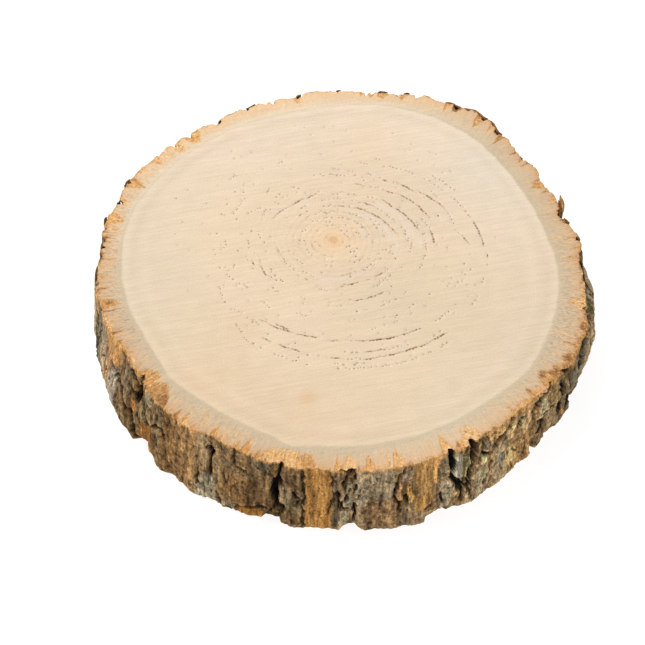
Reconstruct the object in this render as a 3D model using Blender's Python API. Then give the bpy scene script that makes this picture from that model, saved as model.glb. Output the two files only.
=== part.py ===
"""A slice sawn across a log, lying flat with its bark on.

The origin is the middle of the flat underside. +Z is up, along the grain of the wood. Lengths are in
metres, and named lists of bark features are in millimetres. A direction round the slice is in degrees,
anticlockwise from +X as seen from above. A depth is measured down the bark from the sawn top.
"""

import bmesh
import bpy
import numpy as np

MM = 0.001

# Driving dimensions
MEAN_RADIUS = 0.1102
THICKNESS = 0.042
FLARE = 0.0018
COLUMNS = 320
ROWS = 11
RIM_INSET = 0.0012
RIM_DROP = 0.0014
RIM_SHARE = 0.4
RIM_REACH = 7.0
SMOOTH_ANGLE = 42.0

# Waves of the outline: waves round the slice, height in mm, direction of one crest
LOBES = ((2, 1.24, 96), (3, 0.67, 55), (4, 0.36, 69))

# Local swellings and flats of the outline: direction, half-width in degrees, height in mm
SWELLS = ((61, 14, 5.0), (23, 12, -1.5), (122, 14, -2.6), (209, 10, -2.5), (340, 14, 4.4), (14, 8, 2.4),
          (48, 5, 1.6), (72, 5, 1.0), (118, 9, 1.0), (154, 6, -1.0))

# Bark that stands out below the sawn rim: direction, half-width in degrees, height in mm, and the
# depths in mm between which it rises
SIDE_SWELLS = ((211, 9, 4.6, 6, 34), (289, 9, 1.5, 8, 34), (356, 9, 4.2, 2, 8), (60, 8, 1.6, 1, 6),
               (203, 9, 0.9, 6, 34), (236, 15, 1.6, 6, 34), (314, 4, 1.8, 12, 36), (329, 5, -1.2, 10, 34),
               (346, 5, -1.2, 4, 24))

# Furrows between the bark plates: half-width, depth, then (direction, depth down the bark) points
FURROWS = (
    (1.5, 4.0, ((187.5, 0), (184.0, 14), (181.0, 24))),
    (1.4, 3.0, ((195.0, 9), (193.0, 22), (190.0, 42))),
    (1.3, 2.6, ((201.0, 20), (199.0, 32))),
    (1.6, 4.0, ((206.5, 12), (205.5, 19), (203.5, 30))),
    (1.7, 4.5, ((208.5, 12), (210.0, 18), (211.0, 27), (211.5, 33))),
    (2.0, 5.0, ((217.6, 0), (217.0, 12), (215.8, 28), (215.2, 42))),
    (1.6, 4.5, ((219.8, 0), (220.6, 10), (221.0, 17), (222.6, 21))),
    (1.5, 4.0, ((218.6, 20), (218.0, 31))),
    (1.7, 4.0, ((227.0, 17), (224.6, 19), (221.6, 24))),
    (1.4, 3.4, ((241.6, 6), (241.2, 14), (240.9, 23))),
    (1.2, 2.2, ((238.8, 18), (238.6, 30), (238.4, 42))),
    (1.4, 2.8, ((243.8, 18), (246.0, 14), (248.0, 11), (250.6, 12))),
    (1.3, 2.6, ((252.8, 6), (255.0, 9), (257.0, 7))),
    (2.1, 6.0, ((258.4, 0), (257.6, 10), (256.6, 18), (256.8, 24), (258.2, 31), (258.8, 38))),
    (1.3, 2.4, ((261.6, 19), (262.0, 28))),
    (1.5, 3.4, ((272.8, 0), (272.4, 8), (271.8, 15), (272.0, 30))),
    (1.3, 3.0, ((270.4, 13), (271.0, 20), (271.6, 27))),
    (1.5, 3.8, ((274.2, 3), (274.8, 14), (274.2, 24), (274.9, 34), (276.2, 42))),
    (1.5, 3.8, ((284.6, 0), (283.9, 8), (283.6, 16), (284.1, 26), (284.2, 38))),
    (1.2, 2.4, ((286.3, 5), (286.4, 15), (286.6, 25), (284.4, 28))),
    (1.4, 2.8, ((290.4, 37), (292.6, 32))),
    (1.8, 5.0, ((297.2, 0), (296.8, 12), (297.5, 22), (298.6, 30), (299.6, 42))),
    (2.9, 7.0, ((301.6, 0), (302.3, 9), (302.0, 18), (301.0, 28), (300.8, 36))),
    (1.5, 3.2, ((304.2, 15), (306.6, 16), (309.0, 12), (311.5, 9), (313.5, 5), (313.6, 0))),
    (1.6, 4.0, ((308.6, 22), (307.4, 29), (306.2, 37))),
    (1.5, 4.0, ((317.0, 5), (316.7, 15))),
    (1.4, 3.0, ((319.0, 17), (321.8, 19), (322.8, 27))),
    (1.9, 4.5, ((323.0, 4), (324.4, 16), (326.4, 24), (326.0, 36))),
    (2.1, 5.0, ((332.6, 4), (331.4, 18), (332.4, 30), (334.0, 42))),
    (3.2, 7.0, ((337.2, 22), (338.4, 32), (339.0, 42))),
    (2.8, 6.5, ((342.6, 4), (343.0, 16), (344.2, 30))),
    (1.8, 4.5, ((350.0, 0), (349.0, 14), (350.5, 28), (350.0, 42))),
    (1.6, 4.0, ((357.0, 3), (356.0, 18), (357.5, 34))),
)

# Bark broken away: direction, half-width in degrees, from and to down the bark, depth
CHIPS = (
    (219.5, 1.8, 36, 42, 3.4),
    (256.8, 1.9, 37, 42, 2.4),
    (274.2, 1.9, 38, 42, 2.6),
    (293.8, 2.6, 37, 42, 3.0),
    (315.6, 2.8, 24, 42, 3.0),
    (322.6, 1.4, 31, 42, 5.0),
    (329.6, 2.4, 34, 42, 3.4),
    (339.6, 2.6, 26, 42, 3.4),
    (328.0, 18.0, 20, 42, 2.4),
    (52.0, 2.4, 34, 42, 3.0),
    (96.0, 3.2, 30, 42, 2.8),
    (141.0, 2.2, 36, 42, 3.2),
)

# Furrows on the rest of the bark follow a rule
WILD_FROM = 5.0
WILD_TO = 181.0
WILD_STEP = 7.4
WILD_SEED = 11


def lattice_value(cell, seed):
    """A repeatable number from 0 to 1 for each cell of a grid."""
    mixed = (cell[..., 0] * 374761393 + cell[..., 1] * 668265263 + cell[..., 2] * 1440662683
             + seed * 974634777) & 0xFFFFFFFF
    mixed = ((mixed ^ (mixed >> 13)) * 1274126177) & 0xFFFFFFFF
    return (mixed ^ (mixed >> 16)) / 4294967296.0


def noise(points, size, seed):
    """Smooth noise from -1 to 1, with bumps of about the given size along X, Y and Z."""
    place = points / np.array(size)
    base = np.floor(place).astype(np.int64)
    part = place - base
    part = part * part * (3.0 - 2.0 * part)
    total = np.zeros(points.shape[:-1])
    for corner in np.ndindex(2, 2, 2):
        weight = np.prod(np.where(np.array(corner) == 1, part, 1.0 - part), axis=-1)
        total += weight * lattice_value(base + np.array(corner), seed)
    return 2.0 * total - 1.0


def turned(difference):
    """The same turn, as degrees from -180 to 180."""
    return (difference + 180.0) % 360.0 - 180.0


def outline_radius(direction):
    """Distance from the middle to the bark's outer surface, before its relief."""
    radius = np.full(np.shape(direction), MEAN_RADIUS)
    for waves, height, crest in LOBES:
        radius = radius + height * MM * np.cos(np.radians(waves * (direction - crest)))
    for middle, half_width, height in SWELLS:
        radius = radius + height * MM * np.exp(-(turned(direction - middle) / half_width) ** 2)
    return radius


def side_swell(direction, down):
    """How far the bark stands out below the sawn rim."""
    height = np.zeros(np.shape(direction))
    for middle, half_width, most, start, end in SIDE_SWELLS:
        side = np.exp(-(turned(direction - middle) / half_width) ** 2)
        height = height + most * side * ramp(down, start, end)
    return height * MM


def wild_furrows():
    """Furrows for the bark from WILD_FROM to WILD_TO, spaced and bent by a seeded draw."""
    draw = np.random.default_rng(WILD_SEED)
    furrows = []
    for start in np.arange(WILD_FROM, WILD_TO, WILD_STEP):
        path = []
        direction = start + draw.uniform(-1.6, 1.6)
        top, bottom = draw.choice(((0, 42), (0, 42), (0, 27), (14, 42)))
        for down in np.linspace(top, bottom, 5):
            path.append((direction, down))
            direction += draw.uniform(-1.5, 1.5)
        furrows.append((draw.uniform(1.4, 2.6), draw.uniform(3.0, 6.0), tuple(path)))
        if draw.random() < 0.45:
            turn, down = path[2]
            reach = draw.choice((-1, 1)) * draw.uniform(3.0, 5.0)
            link = ((turn, down), (turn + 0.5 * reach, down + draw.uniform(-3, 3)),
                    (turn + reach, down + draw.uniform(-6, 6)))
            furrows.append((draw.uniform(1.2, 1.6), draw.uniform(2.2, 3.4), link))
    return furrows


def furrow_depth(direction, down, furrows, narrowest):
    """How far the furrows cut in at each place on the bark. They are shallower at the sawn top."""
    depth = np.zeros(direction.shape)
    mm_per_degree = np.radians(1.0) * MEAN_RADIUS / MM
    for half_width, deepest, path in furrows:
        half_width = max(half_width, narrowest)
        for (turn_a, down_a), (turn_b, down_b) in zip(path, path[1:]):
            across = turned(direction - turn_a) * mm_per_degree
            along = down - down_a
            run_across = (turn_b - turn_a) * mm_per_degree
            run_along = down_b - down_a
            share = (across * run_across + along * run_along) / (run_across ** 2 + run_along ** 2)
            share = np.clip(share, 0.0, 1.0)
            distance = np.hypot(across - share * run_across, along - share * run_along)
            groove = deepest * np.clip(1.0 - (distance / half_width) ** 2, 0.0, 1.0)
            depth = np.maximum(depth, groove)
    return depth * MM * (RIM_SHARE + (1.0 - RIM_SHARE) * ramp(down, 0.0, RIM_REACH))


def ramp(value, start, end):
    """0 before start, 1 after end, and smooth between them."""
    share = np.clip((value - start) / (end - start), 0.0, 1.0)
    return share * share * (3.0 - 2.0 * share)


def chip_depth(direction, down):
    """How far the bark is set back where a piece has broken off."""
    depth = np.zeros(direction.shape)
    for middle, half_width, start, end, deepest in CHIPS:
        side = 1.0 - ramp(np.abs(turned(direction - middle)), 0.7 * half_width, 1.3 * half_width)
        upper = ramp(down, start - 2.0, start + 2.0) if start > 0 else 1.0
        lower = 1.0 - ramp(down, end - 2.0, end + 2.0) if end < THICKNESS / MM else 1.0
        depth = np.maximum(depth, deepest * side * upper * lower)
    return depth * MM


def plate_height(direction, down):
    """The uneven faces of the bark plates, long along the grain."""
    angle = np.radians(direction)
    spot = np.stack((MEAN_RADIUS * np.cos(angle), MEAN_RADIUS * np.sin(angle), down * MM), axis=-1)
    height = 0.9 * noise(spot, (0.011, 0.011, 0.024), 1)
    height += 0.45 * noise(spot, (0.005, 0.005, 0.013), 2)
    return height * MM


def bark_radius(direction, down, furrows):
    """Distance from the middle to the bark at a direction and a depth down from the sawn top."""
    flare = FLARE * ramp(down * MM, 0.0, THICKNESS)
    column_width = 2.0 * np.pi * MEAN_RADIUS / MM / COLUMNS
    cut = furrow_depth(direction, down, furrows, 1.15 * column_width)
    return (outline_radius(direction) + flare + side_swell(direction, down)
            + plate_height(direction, down) - np.maximum(cut, chip_depth(direction, down)))


def build_mesh():
    """The closed body: two flat sawn faces and the bark between them."""
    directions = np.arange(COLUMNS) * 360.0 / COLUMNS
    chipped = noise(np.stack((directions, directions, directions), axis=-1), (2.4, 500.0, 500.0), 5)
    drop = RIM_DROP / MM * (1.0 + 0.7 * chipped)
    thickness = THICKNESS / MM
    downs = [drop + (thickness - 2.0 * drop) * row / ROWS for row in range(ROWS + 1)]

    furrows = FURROWS + tuple(wild_furrows())
    rings = []
    rim = bark_radius(directions, 0.0 * directions, furrows)
    rings.append((rim - RIM_INSET * (1.0 + 0.5 * chipped), THICKNESS + 0.0 * directions))
    for down in downs:
        rings.append((bark_radius(directions, down, furrows), THICKNESS - down * MM))
    base = bark_radius(directions, thickness + 0.0 * directions, furrows)
    rings.append((base - RIM_INSET * (1.0 - 0.5 * chipped), 0.0 * directions))

    body = bmesh.new()
    cosines = np.cos(np.radians(directions))
    sines = np.sin(np.radians(directions))
    loops = []
    for radii, heights in rings:
        loop = [body.verts.new((r * c, r * s, z)) for r, c, s, z in zip(radii, cosines, sines, heights)]
        loops.append(loop)
    for upper, lower in zip(loops, loops[1:]):
        for column in range(COLUMNS):
            after = (column + 1) % COLUMNS
            face = body.faces.new((upper[column], lower[column], lower[after], upper[after]))
            face.material_index = 1
    body.faces.new(loops[0])
    body.faces.new(list(reversed(loops[-1])))
    bmesh.ops.triangulate(body, faces=[face for face in body.faces if len(face.verts) == 4])
    return body


def material(name, color, roughness):
    """A plain Principled material."""
    made = bpy.data.materials.new(name)
    made.use_nodes = True
    shader = made.node_tree.nodes["Principled BSDF"]
    shader.inputs["Base Color"].default_value = (*color, 1.0)
    shader.inputs["Roughness"].default_value = roughness
    shader.inputs["Metallic"].default_value = 0.0
    return made


def clear_scene():
    """Take away whatever the file opened with."""
    for thing in list(bpy.data.objects):
        bpy.data.objects.remove(thing, do_unlink=True)


def main():
    clear_scene()
    body = build_mesh()
    mesh = bpy.data.meshes.new("log_slice")
    body.to_mesh(mesh)
    body.free()
    mesh.materials.append(material("sawn_wood", (0.80, 0.69, 0.51), 0.75))
    mesh.materials.append(material("bark", (0.24, 0.17, 0.11), 0.92))
    mesh.shade_smooth()
    mesh.set_sharp_from_angle(angle=np.radians(SMOOTH_ANGLE))
    bpy.context.scene.collection.objects.link(bpy.data.objects.new("log_slice", mesh))


main()
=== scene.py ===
"""The looks of a slice sawn across a log: its cut faces, its bark and the torn rim between them.

The slice lies on its underside, in metres, with +Z up. A direction round it is in degrees,
anticlockwise from +X as seen from above. A depth down the bark is in millimetres from the sawn top.
Lists of features are in degrees and millimetres, and colours are sRGB values from 0 to 255.
"""

import bpy
import numpy as np
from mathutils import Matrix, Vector
from mathutils.geometry import delaunay_2d_cdt


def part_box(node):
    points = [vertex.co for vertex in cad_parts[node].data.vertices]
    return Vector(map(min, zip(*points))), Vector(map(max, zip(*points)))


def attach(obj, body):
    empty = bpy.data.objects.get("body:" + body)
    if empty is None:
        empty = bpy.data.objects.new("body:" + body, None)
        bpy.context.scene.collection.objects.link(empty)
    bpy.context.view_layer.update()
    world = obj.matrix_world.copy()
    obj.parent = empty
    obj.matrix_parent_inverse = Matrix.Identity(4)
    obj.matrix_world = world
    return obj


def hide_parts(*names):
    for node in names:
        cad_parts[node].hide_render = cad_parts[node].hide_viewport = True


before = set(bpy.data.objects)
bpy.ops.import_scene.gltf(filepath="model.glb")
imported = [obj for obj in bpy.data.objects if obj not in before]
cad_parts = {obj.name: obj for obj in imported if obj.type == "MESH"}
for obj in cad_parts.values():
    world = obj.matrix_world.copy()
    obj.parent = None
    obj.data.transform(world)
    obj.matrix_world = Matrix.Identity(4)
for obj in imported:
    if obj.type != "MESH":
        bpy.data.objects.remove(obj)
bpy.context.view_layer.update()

MM = 0.001

# The solid's own shape, repeated. The radius, the thickness and the flare are in metres
MEAN_RADIUS = 0.1102
THICKNESS = float(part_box("log_slice")[1][2])
HEIGHT = THICKNESS / MM
FLARE = 0.0018
RIM_SHARE = 0.4
RIM_REACH = 7.0

# Waves round the slice: waves, height in mm, direction of a crest
LOBES = ((2, 1.24, 96), (3, 0.67, 55), (4, 0.36, 69))

# Swells of the outline: direction, half-width in degrees, height in mm. Those of the side
# also say from and to where down the bark, and chips say that before how deep they are
SWELLS = (
    (61, 14, 5.0), (23, 12, -1.5), (122, 14, -2.6), (209, 10, -2.5), (340, 14, 4.4), (14, 8, 2.4),
    (48, 5, 1.6), (72, 5, 1.0), (118, 9, 1.0), (154, 6, -1.0),
)
SIDE_SWELLS = (
    (211, 9, 4.6, 6, 34), (289, 9, 1.5, 8, 34), (356, 9, 4.2, 2, 8), (60, 8, 1.6, 1, 6),
    (203, 9, 0.9, 6, 34), (236, 15, 1.6, 6, 34), (314, 4, 1.8, 12, 36), (329, 5, -1.2, 10, 34),
    (346, 5, -1.2, 4, 24),
)
CHIPS = (
    (219.5, 1.8, 36, 42, 3.4), (256.8, 1.9, 37, 42, 2.4), (274.2, 1.9, 38, 42, 2.6),
    (293.8, 2.6, 37, 42, 3.0), (315.6, 2.8, 24, 42, 3.0), (322.6, 1.4, 31, 42, 5.0),
    (329.6, 2.4, 34, 42, 3.4), (339.6, 2.6, 26, 42, 3.4), (328.0, 18.0, 20, 42, 2.4),
    (52.0, 2.4, 34, 42, 3.0), (96.0, 3.2, 30, 42, 2.8), (141.0, 2.2, 36, 42, 3.2),
)

# The bark that the photograph does not show, and how many features are drawn by seed
WILD_FROM = 5.0
WILD_TO = 181.0
WILD_STEP = 7.4
WILD_SEED = 11
WILD_HOLLOWS = 64
SEEDED_ROWS = 46
SEEDED_PITS = 170
SEEDED_FLAKES = 36
FLAKE_SEED = 77

# Cracks: degrees from its first point that one may reach, the half-width in mm above which one is wide,
# and the share of the cut at which its painted shade is full
CRACK_SPAN = 16.0
WIDE_CRACK = 1.7
WIDE_CRACK_FULL = 0.55
CRACK_FULL = 0.4

# How far the bark's edges are rounded, and over what height, in mm
ROUNDED_BY = 0.55
ROUNDED_OVER = 1.1

# The inner line of the bark, as waves of the same kind, and the place of the pith in mm
CAMBIUM_RADIUS = 0.0978
CAMBIUM_LOBES = ((1, 1.85, 23), (2, 2.29, 72), (3, 1.31, -49), (4, 1.76, -11))
PITH = (-3.5, 16.2)

# Small bends of that line, as seen by its colour: direction, mm outwards
LINE_BENDS = (
    (0, -0.2), (8, -0.5), (12, -1.2), (30, -1.0), (43, -0.6), (50, 0.2), (62, 0.0), (80, -0.8),
    (92, -1.2), (100, -0.8), (104, 0.3), (109, 1.2), (113, 2.0), (118, 3.2), (122, 4.6), (130, 5.2),
    (140, 5.0), (150, 4.6), (158, 4.4), (164, 3.4), (172, 2.6), (178, 1.4), (188, 1.0), (200, 0.0),
    (205, -0.6), (212, -0.7), (217, 0.2), (221, 1.0), (226, 0.6), (231, -0.8), (236, -1.6), (243, -2.1),
    (250, -1.9), (255, -1.4), (257, 0.2), (260, 1.2), (263, 0.0), (266, -1.2), (272, -1.0), (280, -0.6),
    (290, -0.2), (300, 0.0), (312, -0.4), (317, 0.0), (322, 0.8), (328, 1.2), (333, 0.4), (337, -0.1),
    (345, -0.6), (355, -0.4),
)

# Fineness of the meshes
COLUMNS = 1300
DIRECTIONS = np.arange(COLUMNS) * 360.0 / COLUMNS
BARK_ROWS = 72
RIM_ROWS = 24
UNDER_RIM_ROWS = 16
WOOD_SPACING = 1.35
UNDER_SPACING = 2.2

# Colours of the sawn wood: in the middle, and near the bark round the slice
HEARTWOOD = (236, 215, 187)
SAPWOOD = (
    (0, (232, 213, 186)), (45, (238, 221, 200)), (75, (241, 223, 199)), (135, (239, 220, 196)),
    (180, (232, 215, 190)), (215, (231, 211, 182)), (260, (231, 206, 174)), (300, (231, 212, 183)),
    (340, (229, 210, 184)),
)
GREY_RING = (207, 190, 160)
PALE_LINE = (242, 228, 206)
PALE_BAND = (239, 227, 214)
PIT = (132, 76, 24)
# The light colour round the pits and lines is a painted highlight
PIT_RIM_HIGHLIGHT = (247, 234, 214)

# Colours of the inner bark: near the wood, in its middle and near its outer edge
TAN_BARK = ((213, 194, 167), (217, 191, 158), (218, 180, 141))
PEACH_BARK = ((240, 221, 194), (243, 212, 174), (246, 209, 168))

# Colours of the torn fibres
TORN_LIGHT = (252, 212, 158)
TORN_MID = (236, 178, 108)
TORN_BROWN = (184, 130, 74)
TORN_DARK = (146, 92, 44)

# Broad tints of the wood: X, Y, reach in mm, colour, strength
STAINS = (
    (-3.5, 17, 13, (245, 214, 178), 0.75), (-3.5, 16.6, 5.0, (238, 196, 148), 0.35),
    (-3.5, 17.0, 1.7, (222, 158, 98), 0.65), (-2.6, 14.4, 1.2, (240, 180, 120), 0.6),
    (-5.6, 17.2, 1.3, (226, 168, 114), 0.45), (12, 79, 13, (245, 218, 188), 0.5),
    (-52, 24, 30, (241, 219, 189), 0.6), (26, -16, 22, (224, 206, 178), 0.65),
    (52, -28, 18, (227, 207, 178), 0.5), (30, 40, 20, (231, 210, 182), 0.5),
    (-42, -36, 11, (232, 205, 172), 0.5), (2, -58, 26, (232, 211, 182), 0.5),
    (-58, -66, 14, (238, 208, 172), 0.5), (-12, -73, 3.6, (229, 188, 146), 0.6),
    (-13, -82, 6.0, (236, 206, 172), 0.4), (66, 62, 20, (232, 219, 198), 0.6),
    (30, 30, 12, (228, 210, 186), 0.5),
)

# Tears in the rim of the sawn top: direction, half-width in degrees, mm from the line of the wood to where
# the tear ends, and its colour from brown, below 0, to cream, above 0
TEARS = (
    (2.8, 0.9, 9.0, 0), (6.2, 0.5, 4.5, -0.5), (8.9, 0.9, 8.8, 0), (12.0, 0.5, 5.8, 0.3),
    (18.4, 1.4, 7.6, -0.4), (25.2, 0.5, 6.6, 0.2), (28.5, 0.3, 4.5, -0.4), (31.3, 1.6, 3.0, -0.3),
    (38.5, 0.5, 6.8, -0.4), (40.3, 0.6, 8.2, -0.2), (43.2, 0.4, 5.5, -0.6), (49.0, 0.9, 4.2, -0.6),
    (52.8, 0.6, 8.0, 0.3), (56.4, 1.2, 4.6, -0.2), (62.8, 1.3, 7.6, -0.6), (65.2, 0.8, 5.0, 0),
    (76.0, 1.2, 4.6, 0), (81.0, 1.6, 3.2, -0.1), (84.0, 1.2, 4.0, 0), (86.2, 0.9, 4.6, 0),
    (102.7, 1.2, 5.0, 0), (132.3, 2.2, 7.0, 0), (137.6, 2.0, 7.0, 0.5), (144.6, 1.2, 8.0, 0.3),
    (149.0, 0.7, 11.5, 0), (154.0, 1.8, 6.0, -0.2), (160.0, 0.5, 8.0, 0.2), (166.4, 1.8, 5.0, 0),
    (169.8, 0.6, 3.6, 0.6), (171.0, 0.5, 8.0, -0.5), (172.6, 0.4, 6.5, -0.5), (174.2, 0.4, 5.5, -0.5),
    (177.6, 0.5, 8.0, -0.5), (179.5, 0.5, 4.0, -0.3), (185.6, 0.6, 4.6, 0.4), (188.8, 0.3, 6.0, -0.6),
    (193.9, 1.7, 4.6, -0.2), (194.3, 0.3, 3.0, -0.7), (196.0, 0.3, 2.0, -0.7), (199.5, 2.6, 10.4, 0.4),
    (203.0, 0.6, 5.6, -0.6), (205.8, 0.4, 8.0, -0.3), (212.5, 0.6, 9.0, 0.9), (214.0, 0.5, 10.0, 0.9),
    (219.2, 3.0, 3.6, -0.3), (223.4, 3.4, 4.0, -0.55), (226.4, 1.3, 7.0, -1.25), (231.4, 0.5, 6.0, -0.5),
    (233.6, 0.8, 6.8, 0.2), (241.5, 0.9, 4.0, -0.3), (243.4, 0.6, 7.5, -0.3), (247.8, 0.5, 5.5, -0.3),
    (250.0, 1.2, 4.0, -0.2), (253.0, 0.6, 6.0, -0.4), (256.4, 2.8, 3.6, 0.25), (258.2, 2.0, 2.6, 0.25),
    (259.8, 2.6, 2.2, 0.3), (261.9, 2.0, 2.6, 0.15), (263.6, 2.4, 3.6, -0.35), (266.0, 1.0, 9.0, -0.3),
    (269.8, 0.8, 10.8, 0.7), (270.9, 0.7, 3.4, 0), (273.6, 1.6, 3.6, 0.3), (275.7, 0.4, 9.5, -0.6),
    (278.2, 1.2, 4.0, 0.1), (282.5, 0.6, 6.0, 0.5), (284.6, 1.3, 2.8, 0.2), (296.0, 1.4, 3.4, 0.2),
    (299.5, 1.5, 9.0, 0), (302.6, 2.4, 4.4, 0.5), (309.5, 2.8, 12.2, 0), (314.9, 0.5, 6.0, -0.3),
    (318.0, 2.4, 10.2, 0), (321.8, 1.0, 5.4, -0.2), (324.0, 0.6, 8.0, 0), (327.9, 2.6, 5.6, -0.35),
    (331.4, 1.4, 8.7, -0.3), (335.2, 1.8, 9.6, -0.35), (339.4, 0.5, 7.6, -0.5), (341.2, 1.6, 11.4, -0.6),
    (342.6, 0.4, 9.5, 0.2), (344.8, 0.4, 9.0, 0), (346.0, 2.4, 11.5, -0.5), (347.0, 0.4, 9.6, 0.1),
    (349.6, 0.4, 9.0, -0.2), (352.0, 1.8, 4.0, 0.4), (358.0, 0.3, 8.0, 0.2),
)

# Darker brown places within the tears: direction, mm past the line, reach in degrees and in mm
BROWN_TEARS = (
    (225.9, 10.8, 1.3, 2.8), (327.8, 6.6, 1.0, 2.2), (330.4, 10.6, 1.2, 2.6), (335.6, 11.2, 1.2, 2.6),
    (322.3, 7.2, 0.7, 1.8), (345.4, 13.4, 1.2, 1.8), (309.2, 14.4, 0.8, 1.4), (298.9, 11.0, 0.5, 1.6),
    (206.0, 12.0, 0.8, 2.0), (193.4, 8.6, 0.5, 1.6), (62.8, 11.0, 0.8, 2.4), (18.4, 10.0, 0.8, 2.0),
)

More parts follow.
